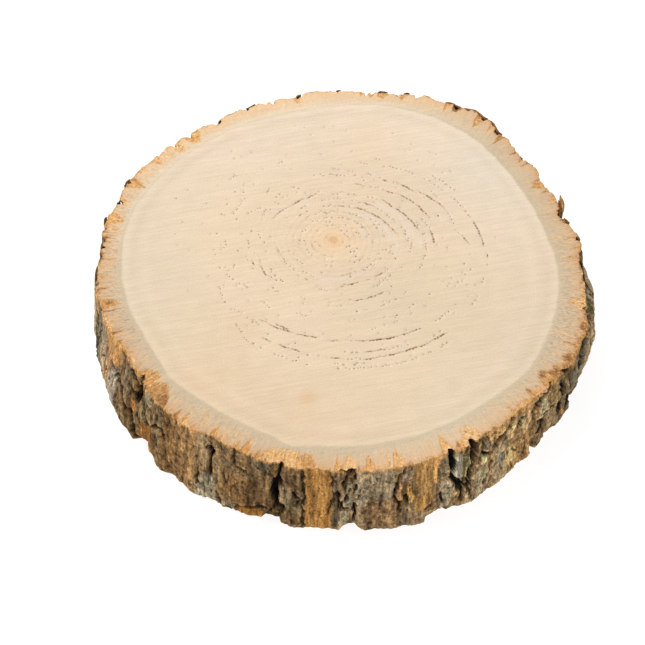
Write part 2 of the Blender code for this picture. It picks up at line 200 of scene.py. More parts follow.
# Rows of open pits along the year rings of the sawn face. Each row runs from one place to the other:
# direction and distance in mm from the pith, twice, and then how marked its pits are
PIT_ROWS = (
    (0, 68, 13, 65, 0.8), (15, 64.2, 29, 61, 0.35), (30, 64.3, 44, 60.8, 0.7), (38, 59, 46, 56.5, 0.4),
    (49, 55.8, 54, 54.8, 0.6), (56, 54, 66, 51.5, 0.4), (1, 61.5, 8, 56.8, 0.8), (9, 56, 20, 55.3, 0.4),
    (22, 55.2, 40, 49.5, 0.8), (40.5, 48.2, 50, 46.4, 0.9), (50, 46.3, 63, 44.5, 0.5),
    (57, 44.5, 60.5, 44.2, 0.9), (68, 44.6, 72, 44, 0.6), (20, 46, 27, 45.8, 0.5),
    (22, 45.8, 33, 44, 0.8), (33, 44, 46, 41.5, 0.9), (47, 40.7, 54, 39, 0.9), (55, 38.7, 65, 37.5, 0.6),
    (0, 45.6, 11, 44.4, 0.9), (12, 44, 22, 42.6, 0.5), (0, 41.5, 9, 40.6, 0.4), (12, 39.2, 25, 36.8, 1),
    (13, 40.2, 20, 39.2, 0.6), (25, 37, 38, 34.4, 0.9), (38, 34.2, 48.5, 33.6, 1),
    (48, 32.8, 55, 32, 0.5), (56, 31.5, 68, 30.3, 0.4), (69, 30.1, 78, 29, 0.5), (0, 34.2, 8, 33.4, 0.5),
    (9.5, 33, 20, 31.5, 0.6), (24, 30.6, 38, 28.8, 0.5), (38, 28.8, 50, 27.9, 0.7),
    (50, 27.8, 61, 26.8, 0.8), (61, 26.6, 72, 25.8, 0.6), (9.5, 29.2, 20, 27, 0.9),
    (20, 26.8, 33, 25.4, 0.8), (30, 25.8, 50, 23.6, 1), (50, 23.5, 67, 22.4, 1), (69, 22, 79, 21.4, 0.7),
    (80, 21.4, 90, 21, 0.8), (91, 21.4, 104, 21.2, 0.7), (43, 19.3, 58, 18.8, 0.6),
    (58, 18.6, 72, 18, 0.5), (73, 17.8, 80, 17.3, 0.8), (88, 17.5, 94, 17.9, 0.9),
    (94, 17, 108, 17.3, 0.6), (113, 17.6, 119, 17.5, 0.6), (0, 17.6, 7, 17.2, 0.8),
    (8, 16.6, 17, 16.4, 0.5), (30, 16, 45, 15.7, 0.4), (46, 15.3, 62, 15, 0.5), (62, 14.6, 79, 14.6, 0.7),
    (80, 14.3, 90, 14, 0.6), (92, 14, 112, 14.3, 0.4), (20, 12, 36, 11.7, 0.5), (38, 11.7, 48, 11.4, 0.6),
    (55, 11.3, 72, 11.3, 0.4), (98, 11.3, 112, 11.2, 0.5), (44, 8.6, 50, 8.4, 0.3), (60, 8.3, 76, 8, 0.5),
    (86, 8.2, 92, 8.2, 0.5), (71, 36.8, 74, 36.6, 1), (76, 42, 80, 41, 0.7), (72, 41.5, 74, 41, 0.6),
    (84, 40, 105, 41, 0.4), (96, 39.5, 99, 39.5, 0.6), (104, 41.5, 105, 39.8, 0.6),
    (82, 30, 86, 29.5, 0.8), (86, 28.4, 96, 27.8, 0.6), (101, 28.2, 106, 28, 0.9),
    (108, 29.2, 118, 28, 0.9), (83, 25.6, 108, 24.5, 0.3), (114, 36.8, 120, 34.8, 0.5),
    (120, 28.3, 137, 28.3, 0.9), (138, 28.6, 157, 30.8, 0.8), (120, 24.5, 131, 24, 0.6),
    (128, 18.6, 133, 18.7, 1), (126, 17.5, 138, 17.2, 0.5), (124, 21, 137, 21.5, 0.5),
    (120, 36.7, 124, 37.3, 0.5), (133, 37, 140, 36.4, 0.5), (129, 33.5, 133, 33.6, 0.4),
    (150, 35.5, 160, 34.9, 0.3), (134, 42.8, 140, 41.5, 0.25), (150, 38, 160, 42, 0.2),
    (120, 13.8, 128, 13.5, 0.5), (126, 15.3, 132, 14.6, 0.4), (144, 11.8, 152, 11.6, 0.5),
    (140, 9.5, 150, 9.2, 0.3), (154, 14.4, 164, 15.2, 0.5), (175, 15.2, 184, 15, 0.5),
    (179, 13.2, 185, 13.3, 0.5), (190, 10.2, 206, 9.8, 1), (208, 10.5, 215, 10.5, 0.8),
    (200, 7.2, 214, 7, 1), (191, 25.6, 199, 25.3, 0.8), (205, 25, 214, 25.2, 0.7),
    (215, 25.3, 228, 24.8, 0.4), (233, 26, 236, 25.5, 0.8), (195, 21.5, 206, 19.8, 0.3),
    (206, 19.7, 228, 19.6, 0.4), (171, 38, 176, 36.6, 0.6), (176, 34, 180, 33.2, 0.7),
    (183, 30.7, 185, 30.6, 0.5), (183, 48.5, 187, 48.3, 0.5), (145, 49.5, 147, 49.8, 0.5),
    (200, 39, 204.5, 38.6, 0.9), (205, 36.4, 218, 36.3, 0.8), (212, 33.2, 230, 33.5, 0.7),
    (220, 35.2, 226, 34.8, 0.6), (230, 39.8, 234, 38.5, 0.5), (204, 52, 218, 47.5, 0.5),
    (215, 48, 218.5, 47.5, 0.9), (216.5, 44, 218, 42, 0.9), (209, 57.5, 218.5, 60.5, 0.5),
    (223, 61, 227, 59, 0.5), (230, 64, 231, 66, 0.8), (236, 56.5, 240, 56, 0.9),
    (237, 54.8, 240, 55, 0.8), (233, 66, 240, 70, 0.4), (230, 48, 237, 48.7, 0.4),
    (241, 56.5, 252, 56.3, 1), (243.5, 55, 251, 55, 1), (254, 56.5, 264.5, 56.3, 0.9),
    (243, 64.7, 247, 64.6, 0.8), (250, 65, 259, 65.5, 0.9), (241, 69.5, 245, 69.5, 0.7),
    (250, 70, 259, 71.5, 0.7), (243, 61.5, 245, 61.6, 0.5), (255, 62, 258.2, 62.2, 0.5),
    (271, 67.5, 274, 67.3, 1), (270, 58, 274, 57.5, 1), (277, 57.5, 280, 58.5, 0.8),
    (280, 58, 300, 61.8, 1), (300, 61.8, 310, 63.2, 0.8), (276, 64.3, 281, 64.8, 0.6),
    (283.5, 65.4, 292, 66, 0.8), (293, 66.6, 301, 67.5, 0.6), (276, 68, 282, 68.5, 0.6),
    (282.5, 69, 290, 69.5, 0.9), (291, 69.7, 303, 71, 0.9), (303, 71, 315.5, 72.3, 0.8),
    (271, 70.5, 280, 71.3, 0.7), (280, 71, 284, 71.4, 0.5), (273, 73, 280, 73.5, 0.6),
    (280, 73.5, 290, 74.3, 0.4), (290, 75, 306, 76, 0.4), (309, 76.5, 313, 76.2, 0.7),
    (310, 69.7, 315, 70, 0.7), (314.5, 64, 324, 65, 0.7), (314, 51, 318, 51, 0.6),
    (303, 51.5, 306, 51, 0.6), (292, 56.5, 294.5, 56.3, 0.5), (300, 53.7, 305, 54.3, 0.4),
    (265, 34.8, 269, 34.4, 0.9), (274, 35, 278, 35, 0.8), (280, 35.2, 284, 35.2, 0.8),
    (286, 36.3, 293, 36.5, 1), (294, 36.8, 303, 36.8, 0.8), (303, 37, 308, 37.3, 0.9),
    (309, 38.5, 312, 38.8, 0.6), (314, 37, 318, 37.3, 0.6), (290, 42.5, 292, 42.5, 0.9),
    (300, 43.5, 307, 43.2, 0.6), (309, 44, 311, 43.8, 0.4), (243, 25.6, 245.5, 25.6, 0.8),
    (251, 26.5, 262, 29, 0.4), (262, 31, 266, 33.5, 0.5), (279, 27, 281, 26.6, 0.8),
    (282, 26, 293, 26.8, 0.9), (295, 26.4, 299, 26.5, 0.8), (301, 26.8, 309, 27.6, 0.8),
    (309, 27.4, 313, 27.5, 0.9), (313, 27.8, 323, 29, 0.8), (282, 21, 286, 21, 0.8),
    (288, 20.5, 296, 20.3, 0.8), (291, 22.4, 295, 22.4, 0.5), (297, 20.8, 302, 20.6, 0.4),
    (309, 21.6, 311.5, 21.7, 0.6), (312, 22, 323, 21.5, 0.7), (307, 15.8, 314, 16, 0.6),
    (313, 16.6, 327, 16.2, 0.8), (329, 16.2, 335, 16.4, 0.5), (319, 13.4, 324, 13.4, 0.7),
    (320, 10.4, 328, 10.2, 0.6), (328, 11.4, 342, 11.5, 0.6), (325, 7, 333, 7, 0.6),
    (336, 7.8, 346, 7.5, 0.4), (350, 8.3, 359, 8, 0.3), (247, 11.6, 257, 11.1, 0.6),
    (249, 18, 252, 18, 0.5), (253, 20.2, 258, 19.8, 0.4), (259, 15.2, 262, 15, 0.5),
    (268, 15, 275, 14.8, 0.4), (345, 24.4, 350, 24.2, 0.6), (348, 23.2, 352, 22.7, 0.5),
    (335, 33.9, 337, 33.8, 0.6), (339, 31, 343, 28.9, 0.4), (352, 34.6, 355, 35, 0.6),
    (356, 35.6, 359.5, 35.4, 0.9), (347, 41.8, 351, 42, 0.6), (354, 42, 358, 42.2, 0.5),
    (344, 47.2, 346, 47, 0.8), (356, 51.5, 359, 51.7, 0.8), (336, 60.5, 340, 60.3, 0.5),
    (342, 70.3, 345, 70, 0.5), (354, 70, 356.5, 69.2, 0.9), (330, 71, 336, 71.5, 0.4),
)

# Rows at least this marked are drawn as lines. Then steps along a line and between pits, and the least
# gap beside a pit, all in mm
JOINED = 0.8
LINE_STEP = 0.72
PIT_STEP = 1.5
LEAST_GAP = 0.06

# Rings of points in a pit: size, number of points, depth in mm, darkness, where below 0 is a painted
# highlight
PIT_RINGS = ((1.0, 9, 0.0, -0.35), (0.72, 7, 0.36, 0.9), (0.0, 1, 0.5, 1.0))

# Radius in mm of the circle on which radial grain is read, and the direction of the saw's marks
GRAIN_CIRCLE = 110.0
SAW_TURN = 15.0
FLATTEN = (1.0, 1.0, 0.0)

# Pale bands along the year rings: direction and distance in mm from the pith, twice, and half-width in mm
PALE_BANDS = (
    (3, 37.2, 52, 29.9, 1.9), (3, 26.8, 55, 20.0, 2.0), (345, 29.3, 363, 28.4, 0.7),
    (0, 15.4, 39, 15.0, 1.2), (250, 23.0, 297, 23.5, 1.4), (60, 19.9, 75, 19.8, 1.0),
    (113, 26.6, 157, 28.8, 1.2), (355, 39.5, 364, 38.6, 1.2),
)

# Single pits: direction and distance in mm from the pith, and how marked each is
LONE_PITS = (
    (60.8, 53, 1.2), (20, 50.3, 1.2), (71, 39.5, 0.6), (92, 27.8, 0.8), (166, 45.6, 0.7),
    (190.5, 43.4, 0.7), (178, 52.8, 0.6), (200, 53.5, 0.6), (149, 53.5, 0.5), (158, 53, 0.4),
    (130, 78, 0.4), (163, 76, 0.6), (207, 39.8, 0.5), (228, 38.8, 0.8), (219, 60.3, 0.9),
    (235, 59.5, 0.8), (262, 66.8, 0.9), (257, 71.6, 0.8), (259, 69, 0.6), (262.5, 72, 0.5),
    (285.8, 42.4, 0.7), (305.8, 50.6, 0.7), (349.5, 60, 0.8), (347, 63.5, 0.6), (326, 52.5, 0.6),
)

# How the inner bark changes round the sawn face: direction, then the value there
PEACHY = (
    (45, 0.0), (75, 0.75), (100, 1.0), (150, 0.9), (172, 0.5), (185, 0.2), (200, 0.0), (268, 0.0),
    (285, 0.3), (302, 0.4), (318, 0.1), (340, 0.0),
)
GREY_WIDTH = (
    (0, 3.0), (45, 2.6), (80, 0.8), (120, 0.6), (160, 0.8), (180, 2.0), (205, 3.0), (235, 3.6),
    (270, 4.6), (300, 4.0), (335, 3.2),
)
FRINGE = (
    (0, 1.6), (45, 1.0), (60, 0.5), (125, 0.6), (140, 1.6), (180, 1.6), (215, 1.8), (300, 1.2),
    (340, 2.0),
)
TORN_BAND = (
    (180, 2.0), (205, 3.0), (240, 1.0), (262, 1.0), (285, 1.5), (300, 2.4), (320, 3.6), (342, 4.4),
    (355, 2.0), (40, 1.4), (120, 1.4),
)
STREAKS = (
    (0, 1.5), (30, 0.8), (50, 0.6), (90, 0.5), (125, 0.6), (150, 1.2), (175, 1.7), (205, 1.6), (222, 0.7),
    (240, 1.2), (262, 0.5), (300, 0.7), (325, 1.2), (340, 2.0),
)

# Flakes: the height in mm from which one ends at the sawn face, and the radius at which they are laid out
SAWN_FLAKE = 40.5
FLAKE_RADIUS = 112.0

# Light: the floor's glow, the sky, and the key light's strength, spread in degrees and aim
WHITE = (1.0, 1.0, 1.0, 1.0)
FLOOR_GLOW = 0.86
SKY_STRENGTH = 0.58
KEY_ENERGY = 1.59
KEY_SPREAD = 24.0
KEY_AIM = (0.45, -0.25, -1.0)

# The camera that matches the photograph: lens in mm, place in metres, turns in degrees
CAMERA_LENS = 137.19
CAMERA_PLACE = (0.000457, -0.71023, 0.88200)
CAMERA_TURNS = (38.929, -0.950, 1.804)


def lattice_value(cell, seed):
    """A repeatable number from 0 to 1 for each cell of a grid."""
    value = (cell[..., 0] * 374761393 + cell[..., 1] * 668265263 + cell[..., 2] * 1440662683
             + seed * 974634777) & 0xFFFFFFFF
    value = ((value ^ (value >> 13)) * 1274126177) & 0xFFFFFFFF
    return (value ^ (value >> 16)) / 4294967296.0


def noise(points, size, seed):
    """Smooth noise from -1 to 1, with bumps of about the given size, one for all axes or one for each."""
    place = points / np.array(size)
    base = np.floor(place).astype(np.int64)
    part = place - base
    part = part * part * (3.0 - 2.0 * part)
    total = np.zeros(points.shape[:-1])
    for corner in np.ndindex(2, 2, 2):
        weight = np.prod(np.where(np.array(corner) == 1, part, 1.0 - part), axis=-1)
        total += weight * lattice_value(base + np.array(corner), seed)
    return 2.0 * total - 1.0


def noise_along(value, size, seed):
    """Smooth noise that changes with one value only."""
    return noise(np.stack((value, 0 * value, 0 * value), axis=-1), (size, 1.0, 1.0), seed)


def turned(difference):
    """The same turn, as degrees from -180 to 180."""
    return (difference + 180.0) % 360.0 - 180.0


def ramp(value, start, end):
    """0 before start, 1 after end, and smooth between them."""
    share = np.clip((value - start) / (end - start), 0.0, 1.0)
    return share * share * (3.0 - 2.0 * share)


def linear(color):
    """An sRGB colour from 0 to 255 as linear values."""
    value = np.array(color, dtype=float) / 255.0
    return np.where(value <= 0.04045, value / 12.92, ((value + 0.055) / 1.055) ** 2.4)


def mixed(tone, color, amount):
    """A table of linear colours, moved towards one sRGB colour by an amount for each row."""
    return tone + (linear(color) - tone) * amount[..., None]


def around(direction, stops):
    """A value that changes round the slice, read between its stops of direction and value."""
    turns = [turn for turn, _ in stops]
    return np.interp(direction, turns, [value for _, value in stops], period=360.0)


def color_around(direction, stops):
    """A linear colour that changes round the slice."""
    table = [(turn, linear(color)) for turn, color in stops]
    channels = [around(direction, [(turn, color[k]) for turn, color in table]) for k in range(3)]
    return np.stack(channels, axis=-1)


def waves(direction, lobes):
    """The sum of some waves round the slice, in metres."""
    total = np.zeros(np.shape(direction))
    for count, height, crest in lobes:
        total = total + height * MM * np.cos(np.radians(count * (direction - crest)))
    return total


def outline_radius(direction):
    """Distance from the middle to the bark's outer surface, before its relief."""
    radius = MEAN_RADIUS + waves(direction, LOBES)
    for middle, half_width, height in SWELLS:
        radius = radius + height * MM * np.exp(-(turned(direction - middle) / half_width) ** 2)
    return radius


def side_swell(direction, down):
    """How far the bark stands out below the sawn rim."""
    height = np.zeros(np.shape(direction))
    for middle, half_width, most, start, end in SIDE_SWELLS:
        side = np.exp(-(turned(direction - middle) / half_width) ** 2)
        height = height + most * side * ramp(down, start, end)
    return height * MM


def cambium_radius(direction):
    """Distance from the middle to the line where wood meets bark."""
    return CAMBIUM_RADIUS + waves(direction, CAMBIUM_LOBES)


def wild_furrows():
    """Furrows for the bark from WILD_FROM to WILD_TO, spaced and bent by a seeded draw."""
    draw = np.random.default_rng(WILD_SEED)
    furrows = []
    for start in np.arange(WILD_FROM, WILD_TO, WILD_STEP):
        path = []
        direction = start + draw.uniform(-1.6, 1.6)
        top, bottom = draw.choice(((0, 42), (0, 42), (0, 27), (14, 42)))
        for down in np.linspace(top, bottom, 5):
            path.append((direction, down))
            direction += draw.uniform(-1.5, 1.5)
        furrows.append((draw.uniform(0.9, 1.7), draw.uniform(3.0, 6.0), tuple(path)))
        if draw.random() < 0.45:
            turn, down = path[2]
            reach = draw.choice((-1, 1)) * draw.uniform(3.0, 5.0)
            link = ((turn, down), (turn + 0.5 * reach, down + draw.uniform(-3, 3)),
                    (turn + reach, down + draw.uniform(-6, 6)))
            furrows.append((draw.uniform(0.7, 1.0), draw.uniform(2.2, 3.4), link))
    return furrows


def crack_depth(direction, down, spot):
    """How far the cracks cut in, in mm, and how dark the painted shade in them is. They are ragged, and
    shallow at the top.
    """
    depth = np.zeros(direction.shape)
    crevice_shade = np.zeros(direction.shape)
    mm_per_degree = np.radians(1.0) * MEAN_RADIUS / MM
    ragged = 0.45 * noise(spot, (0.0018, 0.0018, 0.0022), 26) + 0.2 * noise(spot, 0.0009, 27)
    width = 1.0 + 0.3 * noise(spot, (0.004, 0.004, 0.005), 25)
    for half_width, deepest, path in (*CRACKS, *wild_furrows()):
        near = np.abs(turned(direction - path[0][0])) < CRACK_SPAN
        here, low = direction[near], down[near]
        cut = np.zeros(here.shape)
        for (turn_a, down_a), (turn_b, down_b) in zip(path, path[1:]):
            across = turned(here - turn_a) * mm_per_degree
            along = low - down_a
            run_across = (turn_b - turn_a) * mm_per_degree
            run_along = down_b - down_a
            share = (across * run_across + along * run_along) / (run_across ** 2 + run_along ** 2)
            share = np.clip(share, 0.0, 1.0)
            distance = np.hypot(across - share * run_across, along - share * run_along)
            reach = (distance + ragged[near]) / (half_width * width[near])
            cut = np.maximum(cut, 1.0 - ramp(reach, 0.6, 1.15))
        depth[near] = np.maximum(depth[near], deepest * cut)
        darkest_shade = min(1.0, 0.4 + 0.25 * deepest)
        full = WIDE_CRACK_FULL if half_width > WIDE_CRACK else CRACK_FULL
        crevice_shade[near] = np.maximum(crevice_shade[near], darkest_shade * ramp(cut, 0.02, full))
    crevice_shade = np.clip(crevice_shade * (0.97 + 0.22 * noise(spot, (0.0014, 0.0014, 0.0055), 28)), 0.0, 1.0)
    return depth * (RIM_SHARE + (1.0 - RIM_SHARE) * ramp(down, 0.0, RIM_REACH)), crevice_shade


def chip_depth(direction, down):
    """How far the bark is set back, in mm, where a piece has broken off."""
    depth = np.zeros(direction.shape)
    for middle, half_width, start, end, deepest in CHIPS:
        side = 1.0 - ramp(np.abs(turned(direction - middle)), 0.7 * half_width, 1.3 * half_width)
        upper = ramp(down, start - 2.0, start + 2.0) if start > 0 else 1.0
        lower = 1.0 - ramp(down, end - 2.0, end + 2.0) if end < HEIGHT else 1.0
        depth = np.maximum(depth, deepest * side * upper * lower)
    return depth


def on_bark(direction, down):
    """Points on a plain cylinder, in metres, where the bark's noise is read."""
    angle = np.radians(direction)
    return np.stack((MEAN_RADIUS * np.cos(angle), MEAN_RADIUS * np.sin(angle), down * MM), axis=-1)


# Colours met on the bark, and how much brighter it is shown
BARK_GAIN = 1.15
BARE_BARK = (132, 108, 76)
# The next three colours are painted shade: in the low crumbs, in thin cracks and in crevices
BARK_SHADOW = (58, 44, 30)
VEIN_SHADE = (52, 40, 28)
CREVICE_SHADE = (14, 11, 8)
GREY = (148, 132, 106)
LIGHT_GREY = (172, 160, 136)
DARK_GREY = (104, 94, 76)
GREEN_GREY = (104, 98, 68)
BROWN = (150, 117, 77)
DARK_BROWN = (112, 88, 58)
BAST = (184, 136, 78)
PALE = (206, 176, 126)
LICHEN = (160, 149, 122)
MOSS = (94, 96, 50)

# Plates of the bark: direction, half-width in degrees, from and to down the bark, colour, raised by mm
PLATES = (
    (186.4, 1.6, 0, 42, (176, 150, 122), 0.2), (190.6, 2.0, 13, 42, (92, 88, 66), 0.2),
    (194.0, 1.6, 0, 42, (122, 108, 86), -0.1), (197.4, 1.9, 0, 42, (168, 146, 118), 0.3),
    (201.4, 1.7, 15, 40, (170, 136, 100), 0.0), (206.2, 2.8, 19, 38, (166, 155, 135), 0.6),
    (212.2, 2.0, 1, 26, (134, 116, 92), 0.4), (211.6, 1.8, 31, 42, (126, 113, 90), 0.2),
    (215.6, 1.0, 19, 26, (208, 144, 70), -0.4), (218.0, 0.8, 12, 17, (176, 136, 90), -0.4),
    (222.3, 1.6, 0, 9, (174, 165, 145), 0.7), (224.7, 1.4, 0, 15, (150, 126, 96), 0.4),
    (222.4, 3.4, 21, 42, (164, 118, 62), -0.6), (225.6, 1.4, 22, 36, (112, 93, 66), -0.2),
    (232.8, 5.4, 0, 42, BROWN, 0.5), (239.7, 1.2, 0, 20, (142, 119, 88), 0.2),
    (241.2, 2.2, 22, 42, (154, 143, 118), 0.2), (243.0, 1.4, 4, 18, (142, 117, 84), 0.0),
    (245.4, 1.8, 0, 12, (134, 108, 76), 0.2), (249.2, 1.8, 0, 10, (148, 121, 84), 0.3),
    (248.7, 4.8, 15, 35.5, (142, 111, 72), 0.9), (252.4, 1.4, 17, 33, (116, 90, 58), 0.9),
    (254.9, 1.8, 1, 7, (106, 98, 78), 0.5), (254.8, 1.5, 9, 33, (144, 117, 84), 0.2),
    (259.6, 1.4, 11, 30, (162, 147, 121), 0.4), (261.4, 2.0, 0, 18, (142, 117, 84), 0.3),
    (262.2, 1.5, 30, 39, (128, 101, 67), 0.1), (270.3, 1.1, 2, 13, (120, 102, 82), 0.1),
    (271.2, 0.8, 13, 30, (98, 82, 62), -0.2), (270.4, 1.7, 31, 39, (98, 90, 78), -0.3),
    (272.9, 1.0, 27, 42, (172, 160, 132), 0.3), (273.6, 0.7, 8, 26, (152, 142, 120), 0.3),
    (276.4, 1.6, 0, 26, (162, 149, 126), 0.5), (280.4, 3.2, 0, 20, (150, 135, 109), 0.6),
    (280.6, 3.5, 20, 42, (136, 109, 77), 0.3), (276.2, 1.2, 26, 40, (150, 129, 99), 0.3),
    (285.0, 0.9, 13, 24, (152, 121, 85), 0.5), (285.9, 0.9, 2, 12, (132, 113, 93), 0.3),
    (286.2, 1.3, 26, 42, (122, 105, 81), 0.2), (288.8, 1.6, 33, 42, (130, 107, 77), 0.1),
    (291.8, 0.9, 34, 38, (198, 167, 117), 0.3), (294.8, 1.3, 2, 16, (114, 99, 77), 0.3),
    (295.2, 1.7, 18, 37, (156, 142, 116), 0.5), (298.2, 0.9, 2, 20, (190, 181, 155), 0.8),
    (300.4, 0.8, 3, 26, (100, 91, 60), 0.0), (306.9, 1.6, 5, 15, (132, 115, 87), 0.6),
    (305.6, 1.2, 14, 19, (196, 166, 122), 0.0), (309.0, 2.6, 1, 8, (182, 144, 96), 0.0),
    (313.4, 1.5, 7, 15, (190, 160, 114), 0.2), (304.9, 1.9, 20, 38, (138, 125, 96), 0.5),
    (310.5, 2.3, 12, 41, (152, 133, 101), 0.7), (311.0, 1.2, 21, 27, (130, 125, 109), 0.7),
    (315.0, 2.2, 23, 38, (202, 170, 121), -0.6), (318.8, 1.8, 5, 16, (160, 136, 104), 0.3),
    (318.6, 2.6, 20, 40, (136, 108, 72), 0.4), (320.8, 1.4, 18, 21.6, (216, 186, 130), 0.0),
    (324.6, 1.6, 6, 18, (156, 148, 122), 0.2), (329.0, 2.6, 5, 18, (142, 120, 86), 0.3),
    (329.0, 2.3, 21, 35, (152, 132, 101), 0.5), (334.5, 1.2, 14, 38, (144, 121, 91), 0.2),
    (337.4, 2.5, 9, 25, (138, 128, 106), 0.5), (333.2, 0.9, 31, 36, (190, 140, 84), 0.0),
    (346.0, 4.0, 0, 6, (182, 144, 94), 0.0), (348.4, 2.6, 6, 42, (160, 130, 92), 0.2),
    (352.8, 1.0, 1, 10, MOSS, 0.0), (354.6, 1.0, 0, 14, (120, 108, 74), 0.0),
    (353.6, 1.6, 15, 42, (140, 120, 92), 0.3), (357.4, 2.2, 0, 42, (156, 140, 112), 0.4),
    (1.6, 1.8, 0, 42, (148, 134, 108), 0.4),
)

# Bare stringy bast, where the outer bark is gone
BAST_STRIPS = (
    (182.6, 1.6, 0, 42, (178, 142, 98), 0.0), (190.4, 1.6, 0, 13, (190, 146, 92), 0.1),
    (203.6, 4.2, 0, 17, (190, 144, 90), -0.4), (207.6, 1.8, 37, 42, (202, 150, 86), -0.4),
    (200.0, 1.0, 30, 42, (192, 142, 84), -0.2), (251.7, 3.4, 35, 42, (182, 131, 64), -0.5),
    (266.9, 3.1, 0, 42, BAST, -0.6), (287.2, 0.5, 15.5, 25.5, (220, 166, 84), 0.6),
    (290.6, 2.9, 0, 20, (164, 126, 76), -0.3), (290.3, 1.9, 20, 32.5, (168, 129, 76), -0.3),
    (293.1, 0.5, 0, 18, (204, 156, 92), 0.0),
)

# How the bark's colour shifts round its wall: direction, then red, green and blue factors
BARK_TINTS = (
    (8, (1, 1, 1)), (180, (1, 1, 1)), (206, (0.98, 0.93, 0.9)), (214, (0.73, 0.65, 0.52)),
    (228, (0.71, 0.63, 0.51)), (232, (1.0, 0.91, 0.79)), (239, (1.16, 1.12, 1.06)),
    (249, (0.79, 0.72, 0.63)), (261, (0.7, 0.62, 0.5)), (267, (0.95, 0.9, 0.75)),
    (272, (0.89, 0.82, 0.7)), (280, (1.07, 0.99, 0.9)), (301, (1.3, 1.25, 1.18)),
    (312, (1.4, 1.36, 1.28)), (320, (1.6, 1.45, 1.26)), (330, (0.95, 0.87, 0.72)),
    (340, (0.68, 0.74, 0.8)), (352, (1, 1, 1)),
)
WILD_KINDS = (GREY, GREY, LIGHT_GREY, BROWN, BROWN, DARK_BROWN, LICHEN, DARK_GREY, PALE, GREEN_GREY)
